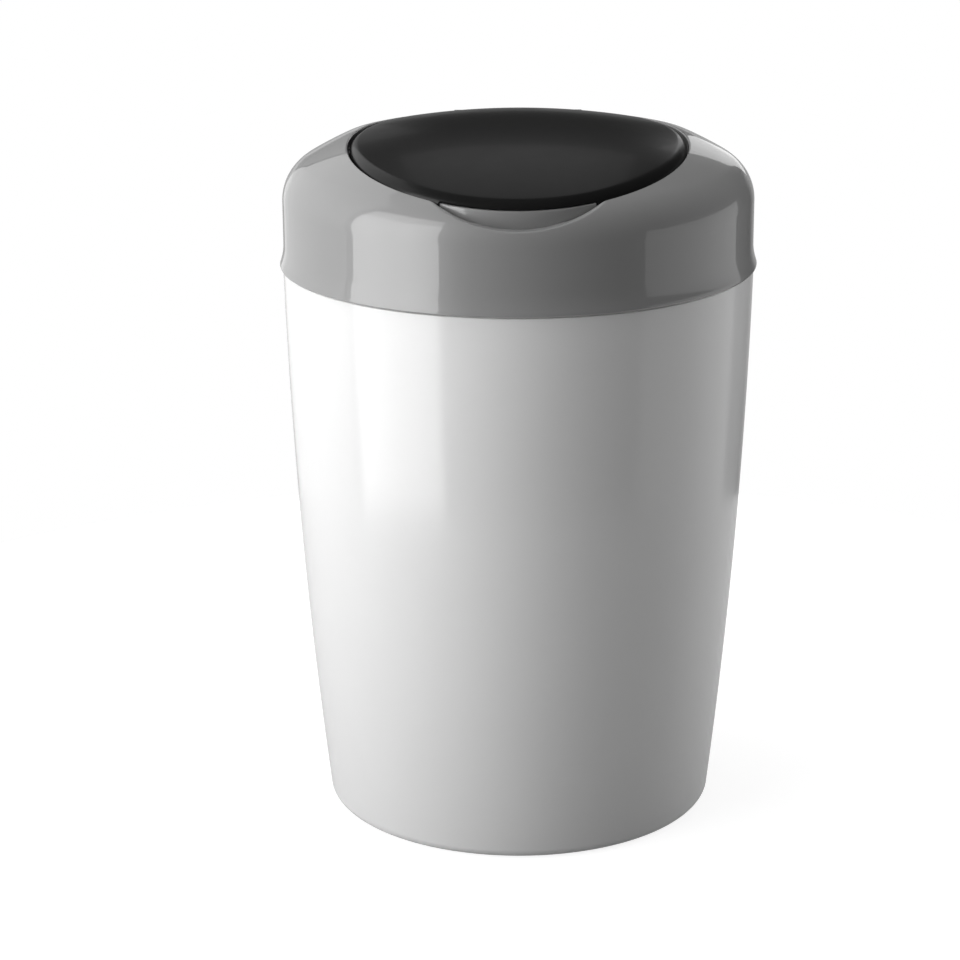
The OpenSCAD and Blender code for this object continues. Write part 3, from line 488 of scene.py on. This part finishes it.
def make_tub():
    """One profile from under the floor, round the foot ring and the rounded bottom edge,
    up the bowed side, over the step and the neck, and back down the inside."""
    base_r = tub_side_r(TUB_EDGE_R) - TUB_EDGE_R
    recess_r = base_r - FOOT_W
    floor_top = FLOOR_LIFT + TUB_WALL
    neck_in = NECK_R - TUB_WALL
    inner_edge = tub_side_r(floor_top + TUB_EDGE_R) - TUB_WALL - TUB_EDGE_R
    step_z = TUB_SIDE_H - TUB_WALL
    under = rounded([(CENTRE_R, FLOOR_LIFT), (recess_r, FLOOR_LIFT), (recess_r, 0),
                     (base_r - 1, 0)], FOOT_ROUND)
    shelf = rounded([(tub_side_r(TUB_SIDE_H - 3), TUB_SIDE_H - 3),
                     (TUB_TOP_R, TUB_SIDE_H), (NECK_R, TUB_SIDE_H), (NECK_R, RIM_Z),
                     (neck_in, RIM_Z), (neck_in, step_z),
                     (tub_side_r(step_z) - TUB_WALL, step_z),
                     (tub_side_r(INSIDE_TOP + 4) - TUB_WALL, INSIDE_TOP + 4)], RIM_ROUND)
    inside = np.concatenate([
        side_rows(TUB_WALL, floor_top + TUB_EDGE_R, INSIDE_TOP, 40)[::-1],
        arc((inner_edge, floor_top + TUB_EDGE_R), TUB_EDGE_R, 0, -90, 8)[1:],
        [(inner_edge - 2, floor_top), (CENTRE_R, floor_top)]])
    profile = np.concatenate([
        [(POLE_R, FLOOR_LIFT)], under, arc((base_r, TUB_EDGE_R), TUB_EDGE_R, -90, 0, 12),
        side_rows(0, TUB_EDGE_R + 3, TUB_SIDE_H - 4, 72), shelf, inside,
        [(POLE_R, floor_top)]])
    tub = Piece()
    tub.shell(turned(profile, TUB_COLUMNS))
    for k in range(RIB_COUNT):
        tub.block((RIB_START_R, -RIB_T / 2, RIB_LIFT),
                  (recess_r + 0.3, RIB_T / 2, FLOOR_LIFT + 0.3),
                  turn=(k + 0.5) * 360 / RIB_COUNT)
    for angle in KEY_ANGLES:
        tub.block((NECK_R - SUNK, -KEY_W / 2, TUB_SIDE_H - SUNK),
                  (NECK_R + KEY_STAND, KEY_W / 2, TUB_SIDE_H + NECK_H / 2), turn=angle)
    tub.finish("tub_shell", "tub", "white_plastic", white_plastic, ["tub"])


# ---- Crown, oval and scoop, which the flap and the collar share ----

LEAST, FAR_ABOVE = 1e-6, 1000.0


def crown_height(x, y, depth):
    """Height of the barrel-shaped crown, lowered by depth: an arc front to back whose
    radius shrinks by the sag of a side-to-side arc."""
    sag = CROWN_SIDE_R - np.sqrt(CROWN_SIDE_R ** 2 - x ** 2)
    return CROWN_Z + np.sqrt((CROWN_R - depth - sag) ** 2 - (y - CROWN_Y) ** 2)


def oval_reach(angle, inset):
    """Distance from the bin's axis to the flap's outline drawn in by inset, along a ray:
    the positive root of the ellipse's quadratic."""
    a, b = FLAP_HALF_W - inset, FLAP_HALF_L - inset
    c, s = np.cos(angle), np.sin(angle)
    qa = (c / a) ** 2 + (s / b) ** 2
    qb = -2 * s * FLAP_Y / b ** 2
    qc = (FLAP_Y / b) ** 2 - 1
    return (-qb + np.sqrt(qb * qb - 4 * qa * qc)) / (2 * qa)


def well_reach(angle, inset):
    """The well's outline: the oval, or the hinge's pocket where that reaches further."""
    reach = oval_reach(angle, inset)
    c, s = np.cos(angle), np.sin(angle)
    pocket = np.minimum(POCKET_BACK / np.maximum(s, LEAST),
                        EAR_X / np.maximum(np.abs(c), LEAST))
    return np.where((s > 0.5) & (pocket > reach), pocket, reach)


def scoop_height(x, y, extra=0.0):
    """Underside of the ball that hollows the finger scoop, and far above elsewhere."""
    square = (SCOOP_R + extra) ** 2 - x ** 2 - (y - SCOOP_Y) ** 2
    return np.where(square > 0, SCOOP_Z - np.sqrt(np.maximum(square, 0)), FAR_ABOVE)


def dome_point(length, inset):
    """Point on the shoulder and dome at a distance along them from the wall's top: first
    an arc of the shoulder's radius, then one of the dome's."""
    shoulder_r, dome_r = SHOULDER_R - inset, DOME_R - inset
    tip = math.acos((SHOULDER_Z - DOME_Z) / (DOME_R - SHOULDER_R))
    turn = math.pi / 2 - tip
    first = shoulder_r * turn
    a = np.minimum(length, first) / shoulder_r
    b = tip - np.maximum(length - first, 0) / dome_r
    on_shoulder = length < first
    r = np.where(on_shoulder, SHOULDER_IN + shoulder_r * np.cos(a), dome_r * np.sin(b))
    z = np.where(on_shoulder, SHOULDER_Z + shoulder_r * np.sin(a),
                 DOME_Z + dome_r * np.cos(b))
    return r, z


def dome_length(r, inset):
    """Distance along the shoulder and dome from the wall's top to a radius."""
    shoulder_r, dome_r = SHOULDER_R - inset, DOME_R - inset
    tip = math.acos((SHOULDER_Z - DOME_Z) / (DOME_R - SHOULDER_R))
    join = SHOULDER_IN + shoulder_r * math.sin(tip)
    on_shoulder = shoulder_r * np.arccos(np.clip((r - SHOULDER_IN) / shoulder_r, -1, 1))
    on_dome = shoulder_r * (math.pi / 2 - tip) + dome_r * (
        tip - np.arcsin(np.clip(r / dome_r, -1, 1)))
    return np.where(r > join, on_shoulder, on_dome)


# ---- Collar ----

CROWN_BLEND, SCOOP_BLEND, INSIDE_BLEND, FLOOR_BLEND = 1.2, 1.2, 0.6, 0.4
RIM_ROUND_LEAST, RIM_ROUND_MOST = 0.08, 0.7
SCOOP_FROM, SCOOP_TO, ANGLES_EACH = -118, -62, 281  # degrees; the front is at -90
DOME_STEPS, INSIDE_STEPS = 62, 30
WELL_DRAFT, LEDGE_ROUND = 0.15, 0.4
SCOOP_WALL_ROUND, SCOOP_WALL_DRAFT = 0.25, 0.1
RIGHT_ANGLE_STEPS = np.radians([18, 36, 54, 72, 90])
ROUND_STEPS = np.radians([30, 60, 90])


class Planes:
    """Upright half planes round the bin's axis, close together across the finger scoop
    and at the hinge pocket's corners. The collar's closed outline is drawn once in each,
    and a row is one point of that outline in every plane."""

    def __init__(self):
        corner = math.degrees(math.atan2(POCKET_BACK, EAR_X))
        near = np.concatenate([corner + np.arange(-2.4, 0.61, 0.2), [corner]])
        scoop = np.linspace(SCOOP_FROM, SCOOP_TO, ANGLES_EACH)
        others = np.linspace(SCOOP_TO, SCOOP_FROM + 360, ANGLES_EACH)[1:-1]
        degrees = np.concatenate([scoop, others, near, 180 - near])
        self.angles = np.radians(np.unique(np.round(degrees, 4)))
        self.cos, self.sin = np.cos(self.angles), np.sin(self.angles)
        self.rim = well_reach(self.angles, -WELL_GAP)
        self.ledge_in = oval_reach(self.angles, LEDGE_W)
        self.wall_front = oval_reach(self.angles, SCOOP_WALL_INSET)
        self.wall_back = oval_reach(self.angles, SCOOP_WALL_INSET + SCOOP_WALL_T)

    def row(self, r, z):
        return np.stack([r * self.cos, r * self.sin, z + 0 * self.angles], axis=-1)

    def crown(self, r, depth):
        return crown_height(r * self.cos, r * self.sin, depth)

    def scoop(self, r, extra=0.0):
        return scoop_height(r * self.cos, r * self.sin, extra)

    def cut_dome(self, r, z, depth, blend):
        """The dome's height, lowered softly to the crown and then to the scoop's ball,
        all taken at a depth inside the outer skin."""
        crowned = soft_min(z, self.crown(r, depth), CROWN_BLEND)
        return soft_min(crowned, self.scoop(r, depth), blend)

    def floor(self, r, depth, extra):
        """The crown at a depth, lowered softly to the scoop's ball grown by extra."""
        return soft_min(self.crown(r, depth), self.scoop(r, extra), FLOOR_BLEND)


def lip_and_wall_rows(planes):
    """The lip's underside and rounded edge, the flare above it and the upright wall."""
    lip = arc((LIP_R - LIP_ROUND, LIP_Z + LIP_ROUND), LIP_ROUND, -90, 0, 6)
    flare_end = math.degrees(math.asin((FLARE_H - LIP_ROUND) / FLARE_R))
    flare = arc((WALL_R + FLARE_R, LIP_Z + FLARE_H), FLARE_R, 180 + flare_end, 180, 8)
    underside = [(WALL_R - COLLAR_WALL + 0.4, LIP_Z), (LIP_R - LIP_ROUND - 0.3, LIP_Z)]
    wall = [(WALL_R, SHOULDER_Z - below) for below in (14.3, 6.3, 2.3)]
    profile = np.concatenate([underside, lip, flare[1:], wall])
    return [planes.row(r, z) for r, z in profile]


def dome_rows(planes):
    """The shoulder and the dome, then the rounded rim of the well. The rounding is half
    of the fall from the rim to the ledge or to the scoop, within its limits. Also gives
    the height at which the well's wall begins."""
    rim = planes.rim
    _, dome_z = dome_point(dome_length(rim, 0.0), 0.0)
    fall = planes.cut_dome(rim, dome_z, 0.0, SCOOP_BLEND) - well_foot(planes)
    edge = np.clip(fall / 2, RIM_ROUND_LEAST, RIM_ROUND_MOST)
    length = dome_length(rim + edge, 0.0)
    rows = []
    for f in np.linspace(0, 1, DOME_STEPS):
        r, z = dome_point(length * f, 0.0)
        rows.append(planes.row(r, planes.cut_dome(r, z, 0.0, SCOOP_BLEND)))
    top = rows[-1][..., 2]
    for a in RIGHT_ANGLE_STEPS:
        rows.append(planes.row(rim + edge * (1 - math.sin(a)),
                               top - edge * (1 - math.cos(a))))
    return rows, top - edge


def well_foot(planes):
    """Height that the well's wall goes down to: the ledge, or the scoop where it is
    lower."""
    return np.minimum(planes.crown(planes.rim, LEDGE_DEPTH), planes.scoop(planes.rim))


def well_rows(planes, wall_top):
    """The well's wall, and the ledge or the scoop's floor as far as the scoop's back
    wall."""
    foot = np.minimum(wall_top - 0.01, well_foot(planes))
    rows = [planes.row(planes.rim - WELL_DRAFT * f, wall_top * (1 - f) + foot * f)
            for f in (0.05, 0.35, 0.65, 0.95, 1.0)]
    for f in (0.12, 0.4, 0.7, 0.95):
        r = ((planes.rim - WELL_DRAFT) * (1 - f)
             + (planes.wall_front + SCOOP_WALL_DRAFT) * f)
        rows.append(planes.row(r, planes.floor(r, LEDGE_DEPTH, 0.0)))
    return rows


def scoop_wall_rows(planes, floor_z):
    """Across the scoop a thin wall stands up to just under the flap's lip; elsewhere the
    same rows lie on the ledge."""
    front, back = planes.wall_front, planes.wall_back
    half = LIP_HALF_W - SCOOP_WALL_GAP
    stands = (np.abs(front * planes.cos) < half) & (planes.sin < 0)
    depth = np.where(stands, LIP_DEPTH + SCOOP_WALL_GAP, LEDGE_DEPTH)
    rows = []
    for f, drop in ((0.05, 1.0), (0.3, 0.6), (0.6, 0.25), (0.8, 0.05)):
        r = front + SCOOP_WALL_DRAFT * (1 - f)
        top = planes.crown(r, depth) - SCOOP_WALL_ROUND
        rows.append(planes.row(r, floor_z * drop + top * (1 - drop)))
    for r, sink in ((front - 0.06, 0.08), (front - SCOOP_WALL_ROUND, 0.0),
                    (back + SCOOP_WALL_ROUND, 0.0), (back + 0.06, 0.08),
                    (back, SCOOP_WALL_ROUND)):
        rows.append(planes.row(r, planes.crown(r, depth) - sink))
    for f in (0.3, 0.95):
        r = back - 0.04 * f
        down = (depth + SCOOP_WALL_ROUND) * (1 - f) + LEDGE_DEPTH * f
        rows.append(planes.row(r, planes.crown(r, down)))
    return rows


def ledge_rows(planes):
    """The ledge's top, its rounded inner edge, and the start of its underside."""
    ledge_in, under = planes.ledge_in, LEDGE_DEPTH + WELL_WALL
    rows = [planes.row(r, planes.crown(r, LEDGE_DEPTH))
            for r in (planes.wall_back - 0.3, (planes.wall_back + ledge_in) / 2,
                      ledge_in + 0.5)]
    for a in ROUND_STEPS:
        r, sink = (LEDGE_ROUND * (1 - math.sin(a)), LEDGE_ROUND * (1 - math.cos(a)))
        rows.append(planes.row(ledge_in + r, planes.crown(ledge_in + r,
                                                          LEDGE_DEPTH + sink)))
    for a in np.append(ROUND_STEPS[::-1], 0.0):
        r, sink = (LEDGE_ROUND * (1 - math.sin(a)), LEDGE_ROUND * (1 - math.cos(a)))
        rows.append(planes.row(ledge_in + r, planes.crown(ledge_in + r, under - sink)))
    return rows


def inside_rows(planes):
    """Back under the ledge, up to the dome's inner face and down the wall to the lip."""
    under = LEDGE_DEPTH + WELL_WALL
    oval = oval_reach(planes.angles, -WELL_GAP)
    foot = np.where(planes.rim > oval + 0.01, planes.rim + WELL_WALL,
                    oval_reach(planes.angles, -WELL_GAP - WELL_WALL))
    rows = []
    for f in (0.15, 0.5, 0.85, 1.0):
        r = (planes.ledge_in + LEDGE_ROUND) * (1 - f) + foot * f
        rows.append(planes.row(r, planes.floor(r, under, COLLAR_WALL)))
    length = dome_length(foot + 0.1, COLLAR_WALL)
    for f in np.linspace(1, 0, INSIDE_STEPS):
        r, z = dome_point(length * f, COLLAR_WALL)
        rows.append(planes.row(r, planes.cut_dome(r, z, COLLAR_WALL, INSIDE_BLEND)))
    for z in (SHOULDER_Z - 6.3, SHOULDER_Z - 18.3, LIP_Z + 1.0, LIP_Z + 0.4):
        rows.append(planes.row(WALL_R - COLLAR_WALL, z))
    return rows


def add_hinge_ears(collar):
    """Two ears with round tops that hold the hinge's pin, their edges taken off."""
    edge = 0.25
    ear = np.concatenate([
        [(HINGE_Y + EAR_BACK, HINGE_Z - KNUCKLE_R)],
        arc((HINGE_Y, HINGE_Z), KNUCKLE_R, 270, 0, 26),
        [(HINGE_Y + EAR_BACK, HINGE_Z)]])
    toward = ear.mean(0) - ear
    toward /= np.linalg.norm(toward, axis=1)[:, None]
    for side in (-1, 1):
        grid = [np.concatenate([np.full((len(ear), 1), side * (EAR_X + across)),
                                ear + toward * inset], axis=1)
                for inset, across in ((edge, 0.0), (0.0, edge), (0.0, EAR_T - edge),
                                      (edge, EAR_T))]
        collar.shell(np.array(grid))


def add_screw_posts(collar):
    """Posts that the tray's screws go up into."""
    profile = rounded([(END_RING_R, DECK_TOP), (POST_R, DECK_TOP), (POST_R, POST_TOP),
                       (END_RING_R, POST_TOP)], 0.3)
    for angle in np.radians(POST_ANGLES):
        centre = [POST_CIRCLE_R * math.cos(angle), POST_CIRCLE_R * math.sin(angle), 0]
        collar.shell(turned(profile, POST_COLUMNS) + centre)


def add_centring_ribs(collar):
    """Ribs that centre the collar on the tub's neck: one every 60 degrees, and one on
    each side of the neck's keys."""
    even = [60 * k for k in range(6)]
    beside_keys = [key + side * CENTRING_PAIR for key in KEY_ANGLES for side in (-1, 1)]
    low = LIP_Z + CENTRING_LIFT
    for angle in even + beside_keys:
        collar.block((NECK_R + CENTRING_GAP, -CENTRING_T / 2, low),
                     (WALL_R - COLLAR_WALL + CENTRING_SUNK, CENTRING_T / 2,
                      low + NECK_H - 2 * CENTRING_LIFT), turn=angle)


def make_collar():
    """One closed outline in every plane: lip, wall, dome, well, the scoop's back wall,
    ledge and inside. Ears, posts and ribs are shells of their own."""
    planes = Planes()
    dome, wall_top = dome_rows(planes)
    well = well_rows(planes, wall_top)
    scoop_wall = scoop_wall_rows(planes, well[-1][..., 2])
    collar = Piece()
    collar.shell(np.stack(lip_and_wall_rows(planes) + dome + well + scoop_wall
                          + ledge_rows(planes) + inside_rows(planes)), close_rows=True)
    add_hinge_ears(collar)
    add_screw_posts(collar)
    add_centring_ribs(collar)
    collar.finish("collar_shell", "top_unit", "grey_plastic", grey_plastic, ["collar"])



# ---- Flap ----

SKIRT_ROUND, EAR_GAP = 0.35, 0.9
LIP_UNDER_IN, LIP_UNDER_OUT = 0.9, 3.9


def quarter(radius, angles, offset=0.0):
    """Insets and depths along a quarter round at the flap's edge: at 90 degrees on top,
    at 0 on the side. The offset draws both in, for the round's inner face."""
    return [(offset + radius * (1 - math.cos(t)), offset + radius * (1 - math.sin(t)))
            for t in np.radians(angles)]


def make_flap_cover():
    """Rings of the oval, each drawn in by an inset and lowered by a depth below the crown:
    out from the middle, over the rounded edge, down the skirt and back inside. Beside the
    collar's ears the outline stops short, and a knuckle runs along the rear edge."""
    angle = np.linspace(0, 2 * np.pi, FLAP_COLUMNS, endpoint=False) + math.pi / 2
    at_front = (np.abs(FLAP_HALF_W * np.cos(angle)) < LIP_HALF_W) & (np.sin(angle) < 0)
    rear_stop = HINGE_Y - KNUCKLE_R - EAR_GAP

    def ring(inset, depth, lip_inset=None):
        """One ring. Where the skirt is cut back to a lip, a ring below the lip lies on
        its underside, at the inset given for it."""
        if lip_inset is not None:
            inset = np.where(at_front, lip_inset, inset)
            depth = np.where(at_front, np.minimum(depth, LIP_DEPTH), depth)
        shrink = 1 - inset / FLAP_HALF_W
        x = FLAP_HALF_W * shrink * np.cos(angle)
        y = FLAP_Y + FLAP_HALF_L * shrink * np.sin(angle)
        y = np.where((np.abs(x) > KNUCKLE_HALF) & (y > rear_stop), rear_stop, y)
        return np.stack([x, y, crown_height(x, y, depth)], axis=-1)

    inner = FLAP_EDGE_R - FLAP_WALL
    span = FLAP_HALF_W - FLAP_EDGE_R
    top = [(FLAP_EDGE_R + span * (1 - f), 0.0) for f in np.linspace(0.05, 0.98, 22)]
    top += quarter(FLAP_EDGE_R, np.linspace(90, 32, 14))
    below_lip = quarter(FLAP_EDGE_R, [24, 16, 8, 0])
    below_lip += [(0.0, 5.6), (0.0, 6.2), (0.12, 6.42), (SKIRT_ROUND, SKIRT_DEPTH),
                  (FLAP_WALL - SKIRT_ROUND, SKIRT_DEPTH), (FLAP_WALL, SKIRT_DEPTH - 0.3)]
    below_lip += quarter(inner, [0, 16, 32, 48, 62], FLAP_WALL)
    lip_insets = np.concatenate([
        [0.58, 0.7], np.linspace(LIP_UNDER_IN, LIP_UNDER_OUT, len(below_lip) - 2)])
    inside = quarter(inner, [76, 90], FLAP_WALL)
    inside += [(FLAP_EDGE_R + span * (1 - f), FLAP_WALL) for f in (0.95, 0.7, 0.4, 0.1)]
    grid = [ring(inset, depth) for inset, depth in top]
    grid += [ring(inset, depth, lip)
             for (inset, depth), lip in zip(below_lip, lip_insets)]
    grid += [ring(inset, depth) for inset, depth in inside]
    flap = Piece()
    flap.shell(np.array(grid))
    knuckle = rounded([(END_RING_R, -KNUCKLE_HALF), (KNUCKLE_R, -KNUCKLE_HALF),
                       (KNUCKLE_R, KNUCKLE_HALF), (END_RING_R, KNUCKLE_HALF)], 0.4)
    rod = turned(knuckle, ROD_COLUMNS)
    flap.shell(np.stack([rod[..., 2], rod[..., 0] + HINGE_Y, rod[..., 1] + HINGE_Z], -1))
    flap.finish("flap_cover_shell", "flap", "charcoal_plastic", charcoal_plastic,
                ["flap_cover"])



# ---- Film ----

FOLDS, FOLD_SWING, FOLD_STEPS = 22, 0.45, 4
FILM_GAP_IN, FILM_GAP_OUT, FILM_GAP_UNDER, FILM_GAP_OVER = 2.9, 0.8, 0.2, 0.7


def make_film_pack():
    """Film folded to and fro into a tight ring: the ring's outline ripples with each fold,
    and the folds wander up and down round the ring."""
    low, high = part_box("film_pack")
    z0, z1 = low.z / MM + FILM_GAP_UNDER, high.z / MM - FILM_GAP_OVER
    r0, r1 = CASSETTE_IN_R + FILM_GAP_IN, high.x / MM - FILM_GAP_OUT
    a = np.linspace(0, 2 * np.pi, FILM_COLUMNS, endpoint=False)

    def side(r, outward, steps):
        """The ring's side, up or down the steps: a cosine ripple with each fold, while
        the height wanders, least at the bottom and the top."""
        for t in steps:
            ripple = FOLD_SWING * (np.cos(2 * np.pi * FOLDS * t) - 1)
            wander = 0.35 * np.sin(7 * a + 9 * t) + 0.25 * np.sin(13 * a - 5 * t)
            yield r + outward * ripple, z0 + (z1 - z0) * t + wander * t * (1 - t) * 3

    rows = list(side(r1, 1, np.linspace(0, 1, FOLDS * FOLD_STEPS, endpoint=False)))
    across = r1 - r0 - 2 * FOLD_SWING
    for t in np.linspace(0, 1, 14, endpoint=False):
        crease = 0.35 * np.sin(46 * a + 18 * t) + 0.25 * np.sin(31 * a - 25 * t)
        rows.append((r1 - FOLD_SWING - across * t, z1 + crease))
    rows += side(r0, -1, np.linspace(1, 0, FOLDS * FOLD_STEPS, endpoint=False))
    for t in np.linspace(0, 1, 6, endpoint=False):
        rows.append((r0 + FOLD_SWING + across * t, z0))
    grid = np.stack([np.stack([r * np.cos(a), FLAP_Y + r * np.sin(a), z + 0 * a], -1)
                     for r, z in rows])
    pack = Piece()
    pack.shell(grid, close_rows=True)
    pack.finish("film_folds", "carrier", "film", film_plastic, ["film_pack"])



make_tub()
make_collar()
make_flap_cover()
make_film_pack()


# ---- Studio, in metres ----

BIN_MIDDLE = 0.3
DIM_LOW, DIM_HIGH, EVEN_LIGHT, BACKDROP = 0.04, 0.05, 0.03, 0.4
FLOOR_SEEN, FLOOR_MIRRORED, FLOOR_SUNK, FLOOR_COLUMNS = 0.85, 0.3, 0.0002, 96
WHITE = (1, 1, 1, 1)


def lamp(name, spot, target, width, height, power, mirrored):
    """A plain rectangular light that the camera doesn't see, facing a target. One that
    isn't mirrored stands for light through a large screen, whose edges don't show in
    gloss."""
    light = bpy.data.lights.new(name, "AREA")
    light.shape = "RECTANGLE"
    light.size, light.size_y, light.energy = width, height, power
    holder = bpy.data.objects.new(name, light)
    holder.location = spot
    facing = (Vector(target) - Vector(spot)).to_track_quat("-Z", "Y")
    holder.rotation_euler = facing.to_euler()
    holder.visible_camera = False
    holder.visible_glossy = mirrored
    bpy.context.scene.collection.objects.link(holder)


def side_box(name, azimuth, distance, width, low, high, power, mirrored=True):
    """An upright softbox between two heights. Azimuth is in degrees from the front,
    positive to the right."""
    az, middle = math.radians(azimuth), (low + high) / 2
    lamp(name, (distance * math.sin(az), -distance * math.cos(az), middle),
         (0, 0, middle), width, high - low, power, mirrored)


def top_box(name, azimuth, elevation, distance, width, height, power, mirrored=True):
    """A softbox overhead that looks down at the bin's upper part."""
    az, el = math.radians(azimuth), math.radians(elevation)
    out, up = distance * math.cos(el), distance * math.sin(el)
    lamp(name, (out * math.sin(az), -out * math.cos(az), BIN_MIDDLE + up),
         (0, 0, BIN_MIDDLE), width, height, power, mirrored)


# The left softbox is in three parts of different power.
side_box("left softbox, left half", -69, 1.6, 0.81, -1.0, 1.1, 19)
side_box("left softbox, right half", -45.7, 1.6, 0.513, -1.0, 1.1, 12.8)
side_box("left softbox, upper end", -60, 1.6, 1.3, 1.1, 1.6, 5)
side_box("left rear softbox", -123, 1.6, 2.24, -1.0, 2.6, 19)
side_box("right softbox", 94, 1.4, 1.83, -0.8, 0.45, 4.2)
side_box("right screen", 108, 1.4, 1.5, -0.8, 1.2, 12, mirrored=False)
side_box("rear right softbox", 162, 1.5, 0.26, 0.3, 1.1, 0.65)
side_box("rear left softbox", -165, 1.5, 0.37, 0.3, 0.9, 0.15)
top_box("top left screen", -90, 74, 1.5, 1.2, 0.9, 10, mirrored=False)
top_box("top screen", -20, 80, 1.5, 1.2, 0.9, 5, mirrored=False)
top_box("rear top softbox", 180, 50, 1.5, 0.6, 0.8, 0.6)


def choose(tree, factor, without, with_it):
    """A number that is one value where the factor is 0 and the other where it is 1."""
    return node(tree, "Mix", {"Factor": factor, "A": without, "B": with_it},
                data_type="FLOAT").outputs[0]


def either(tree, a, b):
    """1 where either of two on-off values is 1."""
    return node(tree, "Math", {0: a, 1: b}, operation="MAXIMUM").outputs[0]


def make_world():
    """White to the camera. To mirrors, the backdrop is pale as far up as it stands, and
    the rest of the studio is dim; to everything else the studio is evenly dim."""
    world = bpy.data.worlds.new("studio")
    bpy.context.scene.world = world
    world.use_nodes = True
    tree = world.node_tree
    tree.nodes.clear()
    ray = node(tree, "LightPath").outputs
    direction = node(tree, "TexCoord").outputs["Generated"]
    axes = node(tree, "SeparateXYZ", {0: direction}).outputs
    behind = spread(tree, axes["Y"], 0.88, 0.94, 0.0, 1.0)
    below = spread(tree, axes["Z"], 0.02, 0.06, 1.0, 0.0)
    backdrop = node(tree, "Math", {0: behind, 1: below}, operation="MULTIPLY").outputs[0]
    dim = spread(tree, axes["Z"], 0.0, 0.5, DIM_LOW, DIM_HIGH)
    mirrored = choose(tree, backdrop, dim, BACKDROP)
    shine = either(tree, ray["Is Glossy Ray"], ray["Is Transmission Ray"])
    level = choose(tree, shine, EVEN_LIGHT, mirrored)
    level = choose(tree, ray["Is Camera Ray"], level, 1.0)
    background = node(tree, "Background", {"Color": WHITE, "Strength": level})
    out = tree.nodes.new("ShaderNodeOutputWorld")
    tree.links.new(background.outputs[0], out.inputs["Surface"])


def floor_material():
    """A matt pale floor that keeps the bin's shadow. Its own glow makes it white to the
    camera and pale to mirrors."""
    material = bpy.data.materials.new("pale floor")
    material.use_nodes = True
    tree = material.node_tree
    tree.nodes.clear()
    place = node(tree, "TexCoord").outputs["Object"]
    cloud = node(tree, "TexNoise", {"Vector": place, "Scale": 3.0}).outputs["Fac"]
    tone = node(tree, "Mix", {"Factor": cloud, "A": grey(158), "B": grey(164)},
                data_type="RGBA").outputs["Result"]
    matt = node(tree, "BsdfDiffuse", {"Color": tone}).outputs[0]
    ray = node(tree, "LightPath").outputs
    strength = choose(tree, ray["Is Camera Ray"], FLOOR_MIRRORED, FLOOR_SEEN)
    glow = node(tree, "Emission", {"Color": WHITE, "Strength": strength}).outputs[0]
    glowing = node(tree, "AddShader", {0: matt, 1: glow}).outputs[0]
    seen = either(tree, ray["Is Camera Ray"], ray["Is Glossy Ray"])
    seen = either(tree, seen, ray["Is Transmission Ray"])
    mix = node(tree, "MixShader", {0: seen, 1: matt, 2: glowing})
    out = tree.nodes.new("ShaderNodeOutputMaterial")
    tree.links.new(mix.outputs[0], out.inputs["Surface"])
    return material


def make_floor():
    """A disc of rings round a middle point, just under the bin's foot."""
    a = np.linspace(0, 2 * np.pi, FLOOR_COLUMNS, endpoint=False)
    rings = np.array([0.05, 0.12, 0.2, 0.3, 0.42, 0.55])[:, None]
    grid = np.stack([rings * np.cos(a), rings * np.sin(a), 0 * rings * a - FLOOR_SUNK], -1)
    points = np.concatenate([grid.reshape(-1, 3), [[0, 0, -FLOOR_SUNK]]])
    faces = closed_faces(len(rings), FLOOR_COLUMNS, False).tolist()
    faces += [[len(points) - 1, j, (j + 1) % FLOOR_COLUMNS] for j in range(FLOOR_COLUMNS)]
    mesh = bpy.data.meshes.new("floor")
    mesh.from_pydata(points.tolist(), [], faces)
    mesh.materials.append(floor_material())
    floor = bpy.data.objects.new("floor", mesh)
    bpy.context.scene.collection.objects.link(floor)


PICTURE, FOCAL_PIXELS, FILM_WIDTH = 960, 2813.4, 36.0
CAMERA_PLACE = (0, -1.4479, 0.6268)
PITCH, YAW, ROLL = 0.30241, -0.014326, -0.005753  # radians, pitch down and yaw right


def make_camera():
    """The camera stands in front, above the bin, and looks down at it. Its axes are the
    way it looks, the level line to its right and the line at a right angle to both, the
    last two rolled about the first."""
    forward = Vector((math.sin(YAW) * math.cos(PITCH), math.cos(YAW) * math.cos(PITCH),
                      -math.sin(PITCH)))
    level = Vector((math.cos(YAW), -math.sin(YAW), 0))
    upright = level.cross(forward)
    right = math.cos(ROLL) * level + math.sin(ROLL) * upright
    up = -math.sin(ROLL) * level + math.cos(ROLL) * upright
    data = bpy.data.cameras.new("camera")
    data.sensor_width = FILM_WIDTH
    data.lens = FOCAL_PIXELS / PICTURE * FILM_WIDTH
    data.clip_end = 50
    camera = bpy.data.objects.new("camera", data)
    turn = Matrix((right, up, -forward)).transposed().to_4x4()
    camera.matrix_world = Matrix.Translation(CAMERA_PLACE) @ turn
    bpy.context.scene.collection.objects.link(camera)
    bpy.context.scene.camera = camera


make_world()
make_floor()
make_camera()
bpy.context.scene.view_settings.view_transform = "Standard"
